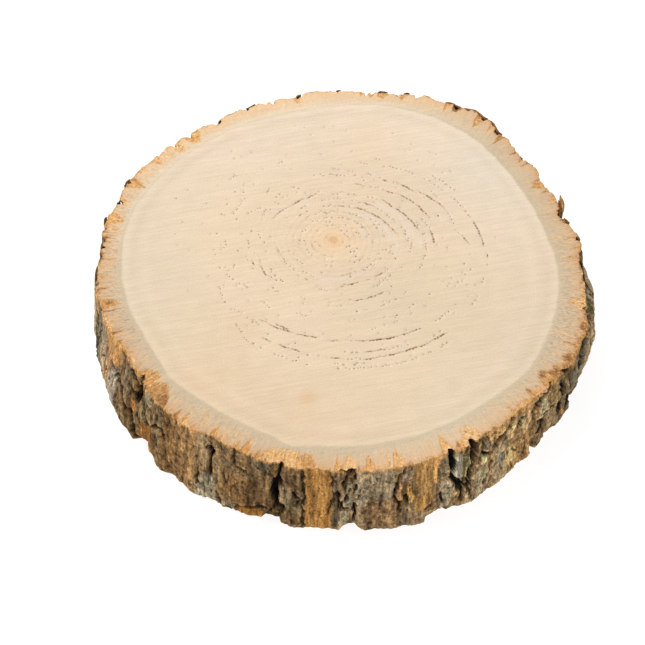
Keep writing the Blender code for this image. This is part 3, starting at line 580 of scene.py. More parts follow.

# Crevices and thin cracks, with painted shade laid in them: half-width and depth in mm, then (direction,
# depth down) points
CRACKS = (
    (0.7, 3, ((187.5, 0), (184.0, 14), (181.0, 24))), (0.7, 2.4, ((195.0, 9), (193.0, 22), (190.0, 42))),
    (1, 2, ((201.0, 28), (199.4, 38))), (0.5, 1.2, ((238.7, 20), (238.6, 33), (238.9, 38))),
    (0.45, 1.0, ((247.3, 1), (247.3, 11))), (0.5, 1.4, ((248.0, 37.6), (252.0, 34.4), (255.0, 33.6))),
    (0.5, 1.4, ((263.4, 2), (263.8, 20), (263.6, 40))),
    (0.5, 1.4, ((269.9, 2), (270.2, 20), (269.0, 31))),
    (1.4, 3, ((188, 22.8), (190, 25.1), (192.5, 27.9))), (0.5, 2, ((197.7, 25.5), (199.7, 24.5))),
    (1.8, 3, ((203.5, 17.4), (205.5, 18.6), (207.1, 19.6), (208.8, 20.4), (210.7, 22), (212.1, 24),
        (213.2, 27))),
    (0.8, 2, ((209.4, 39.1), (209.9, 41.3))), (1.3, 3, ((213.5, 13.5), (214.6, 15.3), (215.4, 17.6))),
    (2.6, 5, ((214.1, 4.4), (215.2, 6.9), (216.8, 8.1), (216.8, 12.6), (216.6, 16.6))),
    (1.9, 4, ((215.4, 26.6), (216.6, 29), (217.1, 32.4), (216.8, 38.6))),
    (1.6, 5, ((218.2, 1.3), (218.8, 4.8), (218.4, 9.4), (219.8, 11.8), (220.7, 15), (221.4, 18),
        (222.6, 20))),
    (1, 3, ((218.2, 21.7), (219, 23.4))),
    (0.8, 3, ((222.9, 21.2), (225.1, 17.8), (227.4, 15.3), (228.2, 17), (228.2, 19.3))),
    (0.8, 4, ((240.6, 8.9), (241.8, 8), (241.5, 11.5), (241.5, 16), (241.5, 19.9), (241.5, 22.2))),
    (0.5, 1.5, ((244, 31.9), (244.5, 38.2), (245.6, 39.9), (247.8, 40.5))),
    (0.5, 2, ((245.4, 14.2), (246.2, 13.6), (247, 13.7))),
    (0.8, 3, ((247.6, 11.1), (248.4, 11.9), (249.5, 12.1), (250.3, 12.1))),
    (0.35, 1.2, ((248.4, 36.5), (250.3, 34.1), (253.1, 31.8))),
    (0.45, 2, ((253.1, 5.3), (254.5, 6.5), (255.6, 8.4), (256.4, 8.3), (257, 10))),
    (0.5, 2, ((256.2, 36), (256.7, 32.6), (257.5, 30.9))),
    (1.6, 6, ((257.5, 11.7), (257, 15.7), (257, 20.2), (257.3, 24.1), (258.1, 27.5), (258.9, 28.7))),
    (0.6, 2.5, ((258.4, 36), (259.2, 32.1))),
    (0.8, 5, ((258.6, 0.9), (258.6, 2.1), (258.1, 7.7), (258.4, 10.5))),
    (0.9, 2, ((261.4, 18.9), (262.5, 21), (262.5, 25))), (0.5, 2, ((263.4, 21.5), (263.4, 26))),
    (0.5, 2.5, ((270.8, 14.4), (271.4, 16.6), (271.7, 19.4), (271.7, 23.4), (271.4, 26.3))),
    (0.7, 2, ((271.4, 0.7), (272.8, 1.9), (274.4, 1))),
    (0.5, 3, ((273.9, 13.4), (273.3, 17.9), (273.3, 21.3), (272.5, 22.3), (272.2, 26.3), (273.3, 25.2))),
    (0.6, 3, ((274.4, 1.6), (273.6, 3.3), (273, 6.5), (272.2, 9.2), (272.2, 12.1))),
    (0.4, 2.5, ((274.7, 3.8), (275, 8.8), (275.3, 12.1), (275.3, 15.5), (276.1, 16.6), (275, 19.5))),
    (0.65, 3, ((274.7, 21.8), (274.7, 26.9), (275, 30.8), (275, 34.2))),
    (0.36, 2.5, ((283.8, 14.9), (283.6, 19.3), (284.1, 23.4), (284.7, 25.7), (284.4, 29.1))),
    (0.4, 2, ((284.7, 24), (285.8, 23.8), (286.6, 22))),
    (0.6, 4, ((285.5, 2.9), (284.7, 5.9), (284.1, 8.7), (284.4, 13.3), (283.8, 14.9))),
    (0.3, 1.5, ((286.9, 22.5), (286.3, 32.8))), (0.6, 2.5, ((290.5, 31.8), (291.6, 31.2))),
    (0.7, 2, ((293.8, 27.2), (294.4, 29.6), (294.6, 32.3))),
    (1.2, 4, ((296.9, 1.2), (296.6, 4.1), (297.1, 9), (297.1, 13.5), (296.9, 18.1))),
    (2.1, 5, ((297.7, 19.7), (298.5, 23.2), (299.1, 27.8))),
    (0.7, 3, ((299.4, 28.4), (299.6, 33), (299.9, 37))),
    (1.1, 2, ((300.2, 22.7), (300.7, 27.2), (301, 31.7))),
    (0.6, 2, ((300.5, 2.4), (299.7, 2.6), (299.6, 8))),
    (0.6, 2.5, ((301.6, 24.9), (301.6, 30), (301.8, 35.1))),
    (2, 6, ((302.1, 2.5), (302.7, 7.6), (302.7, 12.1), (302.4, 16.1), (301.8, 18.8), (301.6, 23.3))),
    (0.4, 1.2, ((303, 3), (304.1, 1.8), (305.4, 2.6), (307.4, 3.2), (309, 2.8))),
    (0.8, 3, ((304.3, 17), (304.9, 14.7), (305.7, 14.1))),
    (1, 4, ((305.4, 12.9), (306.8, 14.1), (307.9, 14.1), (308.8, 11.9), (309.9, 10.1), (311.3, 7.3),
        (312.9, 6.2))),
    (1, 4, ((308.2, 21.6), (307.4, 23.9), (306.6, 27.9), (305.7, 30.7), (305.7, 33))),
    (1.5, 4, ((312.9, 5.6), (313.8, 3.2))), (0.7, 2, ((315.7, 26.7), (316.5, 29.6))),
    (1.3, 3, ((318.7, 7.4), (317.4, 8), (316.5, 11.3))),
    (1.3, 3, ((322.1, 18.9), (324.3, 21.5), (325.9, 28.3), (325.4, 32.2), (324, 32.3))),
    (1.3, 2.5, ((323.2, 3.8), (322.6, 7.4), (321.5, 9.8))),
    (0.8, 1.5, ((327.3, 1.2), (326.5, 2.7), (324, 2))),
    (1.6, 3, ((329.8, 19.4), (327.6, 17.1), (326.2, 18), (325.4, 18))),
    (2.1, 4, ((331.2, 9.1), (331.8, 14.9), (331.8, 20), (331.5, 25.1), (331.8, 29.7))),
    (1.3, 2, ((333.1, 3.6), (332, 3))),
    (2.2, 4.5, ((343.8, 3.5), (341.2, 5), (339.6, 10), (338.9, 16), (337.8, 22), (337.6, 27), (336.4, 34))),
    (2.1, 2.6, ((340.9, 13), (340.4, 19), (339.2, 24), (339.6, 29), (338.6, 35))),
    (0.8, 2, ((346.2, 12), (347.1, 18), (346.6, 25), (347.4, 31))),
    (1.8, 3, ((354.7, 16.4), (353.4, 18.8))),
    (0.9, 3.4, ((350.4, 0), (349.6, 14), (351.0, 28), (350.4, 42))),
    (0.7, 3.0, ((357.0, 6), (356.0, 18), (357.5, 34))), (0.7, 3.0, ((2.6, 4), (3.4, 20), (2.4, 38))),
)


def wild_patches():
    """Plates for the rest of the bark, by a seeded draw."""
    draw = np.random.default_rng(WILD_SEED + 1)
    patches = []
    for start in np.arange(4.0, WILD_TO - 3.0, 4.4):
        split = draw.uniform(8, 34)
        for top, bottom in ((0, split), (split, 42)):
            kind = WILD_KINDS[draw.integers(len(WILD_KINDS))]
            middle = start + draw.uniform(-1.5, 1.5)
            patches.append((middle, draw.uniform(1.4, 3.4), top, bottom, kind, draw.uniform(-0.5, 0.7)))
    return patches


def wild_hollows():
    """Hollows for the rest of the bark, by a seeded draw."""
    draw = np.random.default_rng(WILD_SEED + 2)
    hollows = []
    for _ in range(WILD_HOLLOWS):
        tall = draw.uniform(1.2, 7.0)
        hollows.append((draw.uniform(4, 180), draw.uniform(1, 41), draw.uniform(0.35, 1.0), tall,
                        draw.uniform(2.4, 4.5), draw.uniform(-0.12, 0.12)))
    return hollows


def bent_place(direction, down):
    """The same place on the bark, moved a little so that the edges of its features are ragged."""
    spot = on_bark(direction, down)
    turn = 0.42 * noise(spot, (0.005, 0.005, 0.007), 21) + 0.30 * noise(spot, (0.0018, 0.0018, 0.0024), 22)
    shift = 1.5 * noise(spot, (0.006, 0.006, 0.008), 23) + 0.9 * noise(spot, 0.002, 24)
    return direction + turn, down + shift


def terraced(value, steps, sharpness):
    """A smooth value turned into worn steps, like the layers of bark."""
    scaled = value * steps
    floor = np.floor(scaled)
    return (floor + ramp(scaled - floor, 0.5 - sharpness, 0.5 + sharpness)) / steps


def hollow_depth(direction, down):
    """How far the hollows cut in, in mm. The painted shade in them follows this depth."""
    depth = np.zeros(direction.shape)
    for middle, low, half_width, half_height, deepest, lean in wild_hollows():
        near = np.abs(turned(direction - middle)) < half_width + 5.0
        across = turned(direction[near] - middle - lean * (down[near] - low)) / (1.25 * half_width)
        along = (down[near] - low) / half_height
        cut = deepest * (1.0 - ramp(across ** 2 + along ** 2, 0.35, 1.25))
        depth[near] = np.maximum(depth[near], cut)
    return depth * (0.35 + 0.65 * ramp(down, 0.0, 4.5))


def bark_plates(direction, bent_direction, bent_down, tone):
    """The colours with plates and bast over them, how far these are raised, and where bast is bare."""
    level = np.zeros(direction.shape)
    bare = np.zeros(direction.shape)
    listed = [(*plate, 0.0) for plate in (*wild_patches(), *PLATES)]
    listed += [(*strip, 1.0) for strip in BAST_STRIPS]
    for middle, half_width, top, bottom, kind, raised, stringy in listed:
        near = np.abs(turned(direction - middle)) < half_width + 3.0
        across = np.abs(turned(bent_direction[near] - middle)) / half_width
        low = bent_down[near] - 0.5 * (top + bottom)
        if top <= 0:
            low = np.maximum(low, 0.0)
        if bottom >= HEIGHT:
            low = np.minimum(low, 0.0)
        along = np.abs(low) / (0.5 * (bottom - top))
        inside = 1.0 - ramp((across ** 3 + along ** 3) ** (1 / 3), 0.84, 1.08)
        tone[near] = mixed(tone[near], kind, 0.95 * inside)
        level[near] = level[near] * (1.0 - inside) + raised * inside
        bare[near] = bare[near] * (1.0 - inside) + stringy * inside
    return tone, level, bare


def bark_surface(direction, down):
    """Radius in metres and colour of the bark, with how dark the painted shade in a gap is at each place."""
    spot = on_bark(direction, down)
    bent_direction, bent_down = bent_place(direction, down)
    relief = 0.9 * noise(spot, (0.011, 0.011, 0.024), 1) + 0.45 * noise(spot, (0.005, 0.005, 0.013), 2)
    layers = noise(spot, (0.0075, 0.0075, 0.020), 31) + 0.5 * noise(spot, (0.003, 0.003, 0.007), 32)
    strands = noise(spot, (0.0020, 0.0020, 0.016), 37)
    strings = noise(spot, (0.0011, 0.0011, 0.006), 33)
    crumbs = noise(spot, (0.0013, 0.0013, 0.0015), 34)
    fine = noise(spot, (0.0008, 0.0008, 0.0012), 35)
    veins = noise(spot, (0.0034, 0.0034, 0.018), 28)
    broken = ramp(noise(spot, (0.010, 0.010, 0.012), 29), -0.2, 0.35)

    tone = np.broadcast_to(linear(BARE_BARK), (*direction.shape, 3)).copy()
    tone = mixed(tone, GREY, 0.6 * ramp(layers, -0.2, 0.5))
    tone = mixed(tone, DARK_BROWN, 0.5 * ramp(-layers, 0.0, 0.6))
    tone, level, bare = bark_plates(direction, bent_direction, bent_down, tone)

    rough = 1.0 - bare
    cracked, crevice_shade = crack_depth(bent_direction, bent_down, spot)
    cut = np.maximum(cracked, hollow_depth(bent_direction, bent_down))
    small = 0.8 * np.clip(1.0 - np.abs(veins) / 0.08, 0.0, 1.0) * broken * rough
    islands = ramp(crumbs + 0.6 * fine, 0.35, 0.8) * np.minimum(0.5 * cut, 1.6)
    gap = np.maximum(cut - islands, small)
    relief += (0.9 * terraced(layers, 2.6, 0.16) - 0.3) * (0.3 + 0.7 * rough)
    uneven = 0.26 * strings + 0.16 * strands + rough * (0.18 * crumbs + 0.14 * fine)
    flare = FLARE / MM * ramp(down * MM, 0.0, THICKNESS)
    chips = chip_depth(bent_direction, down)
    radius = outline_radius(direction) + side_swell(direction, down)
    radius = radius + (flare + relief + level + uneven - np.maximum(gap, chips)) * MM

    # Painted light and shade that follow the relief: brighter on the raised strings, strands and crumbs and
    # darker in the low ones, with a painted highlight of pale on the highest crumbs and painted shade of
    # BARK_SHADOW in the lowest
    shade = 1.0 + 0.34 * strings + 0.28 * strands + rough * (0.26 * crumbs + 0.32 * fine)
    shade += 0.10 * noise(spot, (0.004, 0.004, 0.009), 36)
    tone = tone * np.clip(shade, 0.25, 1.9)[..., None]
    tone = mixed(tone, PALE, 0.5 * rough * ramp(crumbs + 0.5 * strings, 0.55, 0.95))
    tone = mixed(tone, BARK_SHADOW, 0.75 * rough * ramp(-crumbs - 0.5 * strings, 0.5, 0.9))
    # Painted shade in the thin cracks
    tone = mixed(tone, VEIN_SHADE, 0.8 * ramp(small, 0.3, 0.8))
    tints = [around(direction, [(turn, factors[k]) for turn, factors in BARK_TINTS]) for k in range(3)]
    # Painted shade: the deeper a gap, the darker it is made, less where crumbs are left in it
    crevice_shade = np.maximum(crevice_shade * (1.0 - 0.3 * ramp(islands, 0.5, 1.5)), 0.9 * ramp(gap, 0.9, 3.0))
    return radius, tone * np.stack(tints, axis=-1), crevice_shade


def new_object(name, data):
    """An object of the scene, made from its data."""
    thing = bpy.data.objects.new(name, data)
    bpy.context.scene.collection.objects.link(thing)
    return thing


def build_mesh(name, points, faces, colors, extras=None):
    """A mesh object from points, faces and a colour for each point."""
    mesh = bpy.data.meshes.new(name)
    mesh.from_pydata([], [], [])
    faces = [np.asarray(group) for group in faces if len(group)]
    corner_counts = np.concatenate([np.full(len(group), group.shape[1]) for group in faces])
    corners = np.concatenate([group.ravel() for group in faces]).astype(np.int32)
    mesh.vertices.add(len(points))
    mesh.vertices.foreach_set("co", np.asarray(points, dtype=np.float32).ravel())
    mesh.loops.add(len(corners))
    mesh.loops.foreach_set("vertex_index", corners)
    mesh.polygons.add(len(corner_counts))
    starts = np.concatenate(((0,), np.cumsum(corner_counts)[:-1])).astype(np.int32)
    mesh.polygons.foreach_set("loop_start", starts)
    mesh.update(calc_edges=True)
    mesh.validate()
    tint = mesh.attributes.new("tone", "FLOAT_COLOR", "POINT")
    rgba = np.concatenate((np.clip(colors, 0.0, 1.0), np.ones((len(points), 1))), axis=1)
    tint.data.foreach_set("color", rgba.astype(np.float32).ravel())
    for key, values in (extras or {}).items():
        layer = mesh.attributes.new(key, "FLOAT", "POINT")
        layer.data.foreach_set("value", np.asarray(values, dtype=np.float32))
    mesh.shade_smooth()
    return new_object(name, mesh)


def ring_quads(upper, lower):
    """Quads between two closed loops of point numbers, facing out when upper is above lower."""
    return np.stack((upper, lower, np.roll(lower, -1), np.roll(upper, -1)), axis=1)


def blurred(values, reach):
    """The mean of each value's neighbours on the wrapped bark grid."""
    total = np.zeros(values.shape)
    for step in range(-reach, reach + 1):
        total += np.roll(values, step, axis=1)
    total /= 2 * reach + 1
    padded = np.pad(total, ((reach, reach), (0, 0)), mode="edge")
    mean = np.zeros(values.shape)
    for step in range(2 * reach + 1):
        mean += padded[step:step + values.shape[0]]
    return mean / (2 * reach + 1)


def make_bark():
    """The bark's outer face as one fine wall, and the rims where it meets the sawn faces."""
    steps = np.arange(BARK_ROWS + 1) / BARK_ROWS
    ragged = 0.5 + 0.5 * noise_along(DIRECTIONS, 0.9, 41)
    coarse = 0.5 + 0.5 * noise_along(DIRECTIONS, 4.0, 42)
    rim_past = (outline_radius(DIRECTIONS) - cambium_radius(DIRECTIONS)) / MM
    top_drop = 0.25 + 0.7 * ragged * coarse + 0.05 * tear_reach(DIRECTIONS, rim_past)[0]
    base_drop = 0.3 + 0.8 * ragged * (1.0 - coarse)
    downs = top_drop[None, :] + (HEIGHT - base_drop - top_drop)[None, :] * steps[:, None]
    directions = np.broadcast_to(DIRECTIONS, downs.shape)
    radius, tone, crevice_shade = bark_surface(directions, downs)
    from_top = (downs - top_drop) / ROUNDED_OVER
    from_base = (HEIGHT - base_drop - downs) / ROUNDED_OVER
    radius = radius - ROUNDED_BY * MM * (np.exp(-from_top ** 2) + np.exp(-from_base ** 2))

    # Painted light and shade: darker where the wall lies below its blurred surroundings, lighter where it
    # stands out, and BARK_GAIN brightens it all
    cavity = (blurred(radius, 4) - radius) / MM
    shade = np.clip(1.0 - 0.5 * cavity, 0.4, 1.5) * BARK_GAIN
    # Painted shade: the cracks and deep gaps are laid over with near black
    tone = mixed(tone * shade[..., None], CREVICE_SHADE, 0.97 * crevice_shade)
    band = around(directions, TORN_BAND)
    edge_torn = 1.0 - ramp(downs - top_drop, 0.3 * band, band)
    tone = mixed(tone, TORN_MID, 0.7 * edge_torn * (1.0 - np.minimum(1.2 * crevice_shade, 1.0)))

    angle = np.radians(directions)
    points = np.stack((radius * np.cos(angle), radius * np.sin(angle), THICKNESS - downs * MM), axis=-1)
    numbers = np.arange(points.shape[0] * COLUMNS).reshape(-1, COLUMNS)
    quads = np.concatenate([ring_quads(a, b) for a, b in zip(numbers, numbers[1:])])
    thing = build_mesh("bark", points.reshape(-1, 3), [quads], tone.reshape(-1, 3))
    return thing, points[0], points[-1], radius, tone


def tear_reach(direction, rim_past):
    """How far, in mm, the torn fibres reach in from the rim at each direction, and their colour there."""
    reach = np.zeros(direction.shape)
    warmth = np.zeros(direction.shape)
    for middle, half_width, edge, tint in TEARS:
        side = np.clip(1.0 - np.abs(turned(direction - middle)) / half_width, 0.0, 1.0)
        deep = np.maximum(rim_past - edge, 0.8) * side ** np.clip(1.05 - 0.3 * half_width, 0.3, 0.9)
        warmth = np.where(deep > reach, tint, warmth)
        reach = np.maximum(reach, deep)
    most = around(direction, FRINGE)
    small = most * np.clip(noise_along(direction, 0.6, 51), 0.0, 1.0)
    tiny = 0.5 * most * np.clip(noise_along(direction, 0.24, 52), 0.0, 1.0)
    return np.maximum(reach, 0.3 + small) + tiny, warmth


def torn_fibres(direction, inset, past, crumbs, threads, fibre, turn):
    """How torn the sawn rim is, from 0 to 1, how deep the torn place lies in mm, and its colour value."""
    bent = direction + turn + 0.22 * noise(fibre, (1.6, 1.6, 3.0), 71)
    bent = bent + 0.10 * noise(fibre, (0.6, 0.6, 1.0), 72)
    reach, warmth = tear_reach(bent, past + inset)
    reach = reach + 1.2 * threads + 0.9 * crumbs
    for middle, out, wide, deep in BROWN_TEARS:
        away = (turned(direction - middle) / wide) ** 2 + ((past - out) / deep) ** 2
        warmth = warmth - 1.3 * np.exp(-away ** 2)
    torn = ramp(reach - inset, -0.35, 0.9)
    slope = np.clip(1.0 - inset / np.maximum(reach, 1.0), 0.0, 1.0)
    depth = torn * (0.22 + 0.75 * slope + 0.30 * crumbs)
    return torn, np.maximum(depth, 0.0), warmth


def wood_tone(x, y, direction, past, beyond, spot, patches):
    """Colour of the wood: broad tints, year rings, pale bands, and the lines beside the bark."""
    edge = color_around(direction, SAPWOOD)
    tone = linear(HEARTWOOD) + (edge - linear(HEARTWOOD)) * ramp(past, -52.0, -8.0)[..., None]
    tone *= (1.0 + 0.018 * noise(spot, 26.0, 64) + 0.020 * patches)[..., None]
    tone *= 1.0 + noise(spot, 7.0, 69)[..., None] * np.array((-0.008, 0.004, -0.016))
    for middle_x, middle_y, reach, color, strength in STAINS:
        away = ((x - middle_x) ** 2 + (y - middle_y) ** 2) / reach ** 2
        tone = mixed(tone, color, strength * np.exp(-away))
    around_pith = np.degrees(np.arctan2(y - PITH[1], x - PITH[0]))
    from_pith = np.hypot(x - PITH[0], y - PITH[1])
    rings = noise(np.stack((0.1 * x, 0.1 * y, from_pith), axis=-1), (3.0, 3.0, 2.2), 74)
    tone *= (1.0 + 0.010 * rings * ramp(-past, 20.0, 40.0))[..., None]
    for start, reach, end, last_reach, half_width in PALE_BANDS:
        share = turned(around_pith - start) / (end - start)
        band = np.exp(-((from_pith - reach - share * (last_reach - reach)) / half_width) ** 2)
        band = band * ramp(share, -0.1, 0.15) * (1.0 - ramp(share, 0.85, 1.1))
        tone = mixed(tone, PALE_BAND, 0.34 * band)
    for middle, width, strength in ((-1.2, 1.0, 0.14), (-10.5, 1.6, 0.16)):
        line = np.exp(-((beyond - middle + 0.35 * patches) / width) ** 2)
        tone = mixed(tone, PALE_LINE, strength * line)
    return mixed(tone, GREY_RING, 0.16 * np.exp(-((beyond + 5.0 + 0.6 * patches) / 1.6) ** 2))


def inner_bark_tone(tone, direction, beyond, inset, streaks, threads, crumbs, patches):
    """The colours with the inner bark's over them, how far each place is bark, and how streaked it is."""
    ragged = beyond + 0.3 * patches + 0.25 * threads
    inner = ramp(ragged, -0.5, 0.6)
    peach = around(direction, PEACHY)[..., None]
    near, middle, outer = [linear(tan) + (linear(pink) - linear(tan)) * peach
                           for tan, pink in zip(TAN_BARK, PEACH_BARK)]
    share = np.clip(ragged / np.maximum(beyond + inset, 4.0), 0.0, 1.0)[..., None]
    ring = near + (middle - near) * ramp(share, 0.1, 0.5) + (outer - middle) * ramp(share, 0.5, 0.95)
    tone = tone + (ring - tone) * inner[..., None]
    width = around(direction, GREY_WIDTH)
    grey = inner * (1.0 - ramp(ragged, 0.3 * width, 1.1 * width))
    tone = mixed(tone, GREY_RING, 0.5 * grey)
    amount = around(direction, STREAKS) * ramp(ragged, 0.3, 3.0)
    tone = tone * (1.0 + 0.05 * amount * (streaks + threads) + 0.03 * inner * crumbs)[..., None]
    warm = amount * ramp(0.6 * streaks + 0.6 * threads, 0.15, 0.6)
    return mixed(tone, TORN_MID, 0.35 * np.minimum(warm, 1.0)), inner, amount


def torn_tone(tone, torn, warmth, inset, threads, crumbs, spot):
    """The colours with those of the torn fibres over them, and painted light and shade along the tears'
    edges.
    """
    fire = np.broadcast_to(linear(TORN_MID), tone.shape)
    fire = mixed(fire, TORN_BROWN, np.clip(-1.3 * warmth, 0.0, 1.0))
    fire = mixed(fire, TORN_LIGHT, np.clip(1.3 * warmth, 0.0, 1.0))
    grain = 0.5 * crumbs + 0.5 * threads
    fire = mixed(fire, TORN_LIGHT, 0.65 * ramp(grain, 0.05, 0.55))
    fire = mixed(fire, TORN_DARK, 0.7 * ramp(-grain, 0.18, 0.6) + 0.5 * ramp(-warmth, 0.7, 1.2))
    tone = tone + (fire - tone) * (0.92 * torn)[..., None]
    # Painted light and shade along the edges of the tears: a highlight in some places, shade in others
    hem = 4.0 * torn * (1.0 - torn)
    tone = mixed(tone, TORN_LIGHT, 0.35 * hem * ramp(noise(spot, 2.6, 73), -0.1, 0.5))
    tone = mixed(tone, TORN_DARK, 0.45 * hem * ramp(noise(spot, 1.6, 67), 0.1, 0.6))
    brink = 1.0 - ramp(inset, 0.1, 0.8)
    return mixed(tone, TORN_DARK, 0.55 * brink * ramp(noise(spot, 2.2, 68), -0.2, 0.5))


def sawn_wood(x, y, rim_turns, rim_radii, turn):
    """Colour of a sawn face, how far it lies under the flat cut in mm, and how stringy and torn it is."""
    direction = np.degrees(np.arctan2(y, x)) % 360.0
    radius = np.hypot(x, y)
    past = radius - cambium_radius(direction) / MM
    beyond = past - around(direction, LINE_BENDS)
    inset = np.interp(direction, rim_turns, rim_radii, period=360.0) - radius
    angle = np.radians(direction)
    spot = np.stack((x, y, np.full(np.shape(x), turn)), axis=-1)
    fibre = np.stack((GRAIN_CIRCLE * np.cos(angle), GRAIN_CIRCLE * np.sin(angle), past + turn), axis=-1)
    streaks = noise(fibre, (0.9, 0.9, 9.0), 61)
    threads = noise(fibre, (0.55, 0.55, 3.4), 62)
    crumbs = 0.6 * noise(spot, 0.9, 63) + 0.6 * noise(spot, 0.55, 66)
    patches = noise(spot, 5.0, 65)

    tone = wood_tone(x, y, direction, past, beyond, spot, patches)
    tone, inner, amount = inner_bark_tone(tone, direction, beyond, inset, streaks, threads, crumbs, patches)
    torn, depth, warmth = torn_fibres(direction, inset, past, crumbs, threads, fibre, turn)
    tone = torn_tone(tone, torn, warmth, inset, threads, crumbs, spot)
    depth += 0.05 * (1.0 - inner) * (0.5 + 0.5 * patches) + 0.10 * inner * (0.5 + 0.5 * threads)
    return tone, depth, np.maximum(inner * amount, 1.2 * torn), torn


def round_pith(reach, angle):
    """X and Y in mm of a place at a distance in mm and an angle in radians from the pith."""
    return PITH[0] + reach * np.cos(angle), PITH[1] + reach * np.sin(angle)


def line_points(turn):
    """Points in mm along the rings whose pits run together: the lines themselves, then their two edges with
    a painted highlight.
    """
    draw = np.random.default_rng(int(turn) + 6)
    middles = []
    edges = []
    for turn_a, reach_a, turn_b, reach_b, marked in PIT_ROWS:
        if marked < JOINED:
            continue
        length = 0.5 * (reach_a + reach_b) * np.radians(turn_b - turn_a)
        count = max(3, round(length / LINE_STEP))
        share = (np.arange(count) + draw.uniform(-0.2, 0.2, count)) / (count - 1)
        angle = np.radians(turn_a + share * (turn_b - turn_a))
        run = np.stack((share * length, 0 * share + reach_a, 0 * share), axis=-1)
        reach = reach_a + share * (reach_b - reach_a) + 0.22 * noise(run, (2.2, 9.0, 9.0), 7)
        reach = reach + draw.uniform(-0.28, 0.28, count)
        gaps = noise(run, (1.3, 9.0, 9.0), 8) + draw.uniform(-0.25, 0.25, count)
        dark = (1.6 * marked - 0.4) * (0.45 + 0.55 * ramp(gaps, -0.35, 0.15))
        odd = np.arange(count) % 2
        dark *= np.where(odd, draw.uniform(0.15, 0.7, count), draw.uniform(0.8, 1.2, count))
        dark = dark * ramp(share, -0.05, 0.12) * (1.0 - ramp(share, 0.88, 1.05))
        core = draw.uniform(0.12, 0.34, count)
        for side in (1.0, -1.0):
            place = round_pith(reach + side * core, angle)
            middles.append(np.stack((*place, 0.34 * dark, np.minimum(dark, 1.0)), axis=-1))
        for side in (1.0, -1.0):
            place = round_pith(reach + side * (core + draw.uniform(0.26, 0.4, count)), angle)
            edges.append(np.stack((*place, 0.0 * dark, -0.2 * dark), axis=-1))
    return np.concatenate(middles), np.concatenate(edges)


def listed_pits(draw):
    """Pits before any is left out: direction, distance from the pith, half-sizes in mm, darkness."""
    pits = []
    rows = [row for row in PIT_ROWS if row[4] < JOINED]
    for _ in range(SEEDED_ROWS):
        start, reach, length = draw.uniform(0, 360), 62.0 * draw.random() ** 0.7, draw.uniform(2, 13)
        span = np.degrees(length / max(reach, 6.0))
        rows.append((start, reach, start + span, reach + draw.normal(0.0, 0.5), draw.uniform(0.0, 0.25)))
    for turn_a, reach_a, turn_b, reach_b, marked in rows:
        length = 0.5 * (reach_a + reach_b) * np.radians(turn_b - turn_a)
        count = max(1, round(length / PIT_STEP))
        for step in range(count):
            if draw.random() > 0.7 + 0.4 * marked:
                continue
            share = (step + draw.uniform(0.0, 1.0)) / count
            reach = reach_a + share * (reach_b - reach_a) + draw.normal(0.0, 0.22)
            if draw.random() < 0.75 * marked:
                half = draw.uniform(0.19, 0.28)
                long = draw.uniform(0.5, 0.95)
                dark = 0.5 + 0.5 * marked * draw.uniform(0.2, 1.0)
            else:
                half = draw.uniform(0.2, 0.34) * (0.85 + 0.4 * marked)
                long = half * draw.uniform(1.0, 1.6)
                dark = draw.uniform(0.3, 0.6) + 0.8 * marked * draw.random()
            pits.append((turn_a + share * (turn_b - turn_a), reach, long, half, dark))
    for turned_by, reach, marked in LONE_PITS:
        pits.append((turned_by, reach, 0.36 + 0.16 * marked, 0.30 + 0.12 * marked, 0.35 + 0.5 * marked))
    for _ in range(SEEDED_PITS):
        half = draw.uniform(0.16, 0.28)
        pits.append((draw.uniform(0, 360), 74.0 * draw.random() ** 0.62, half * draw.uniform(1.0, 1.8), half,
                     draw.uniform(0.1, 0.35)))
    return pits


def pit_places(turn, taken):
    """The taken places and the pits clear of them: X, Y, half-sizes in mm, direction of row, darkness."""
    places = taken.tolist()
    pits = listed_pits(np.random.default_rng(int(turn) + 5))
    for turned_by, reach, long, half, dark in sorted(pits, key=lambda pit: -pit[2]):
        angle = np.radians(turned_by)
        x, y = round_pith(reach, angle)
        kept = np.array(places)
        side = (kept[:, 0] - x) * np.cos(angle) + (kept[:, 1] - y) * np.sin(angle)
        along = (kept[:, 1] - y) * np.cos(angle) - (kept[:, 0] - x) * np.sin(angle)
        clear = np.maximum(np.abs(along) - kept[:, 2] - long, np.abs(side) - kept[:, 3] - half)
        if clear.min() < LEAST_GAP:
            continue
        places.append((x, y, long, half, turned_by + 90.0, dark))
    return np.array(places)


def pit_points(places):
    """Points round and in each pit in mm, with how deep and how dark each is; the outer ring gets a painted
    highlight.
    """
    parts = []
    for size, count, depth, dark in PIT_RINGS:
        for step in range(count):
            angle = np.radians(360.0 * step / count + 20.0)
            along = size * places[:, 2] * np.cos(angle)
            side = size * places[:, 3] * np.sin(angle)
            row = np.radians(places[:, 4])
            x = places[:, 0] + along * np.cos(row) - side * np.sin(row)
            y = places[:, 1] + along * np.sin(row) + side * np.cos(row)
            darkness = dark * places[:, 5]
            parts.append(np.stack((x, y, depth * (0.5 + 0.5 * places[:, 5]), darkness), axis=-1))
    return np.concatenate(parts)


def away_from_pits(loose, places):
    """The loose points that lie clear of every pit."""
    for start in range(0, len(places), 200):
        group = places[None, start:start + 200]
        row = np.radians(group[..., 4])
        across_x = loose[:, None, 0] - group[..., 0]
        across_y = loose[:, None, 1] - group[..., 1]
        along = across_x * np.cos(row) + across_y * np.sin(row)
        side = across_y * np.cos(row) - across_x * np.sin(row)
        reach = (along / (group[..., 2] + 0.45)) ** 2 + (side / (group[..., 3] + 0.45)) ** 2
        loose = loose[(reach > 1.0).all(axis=1)]
    return loose


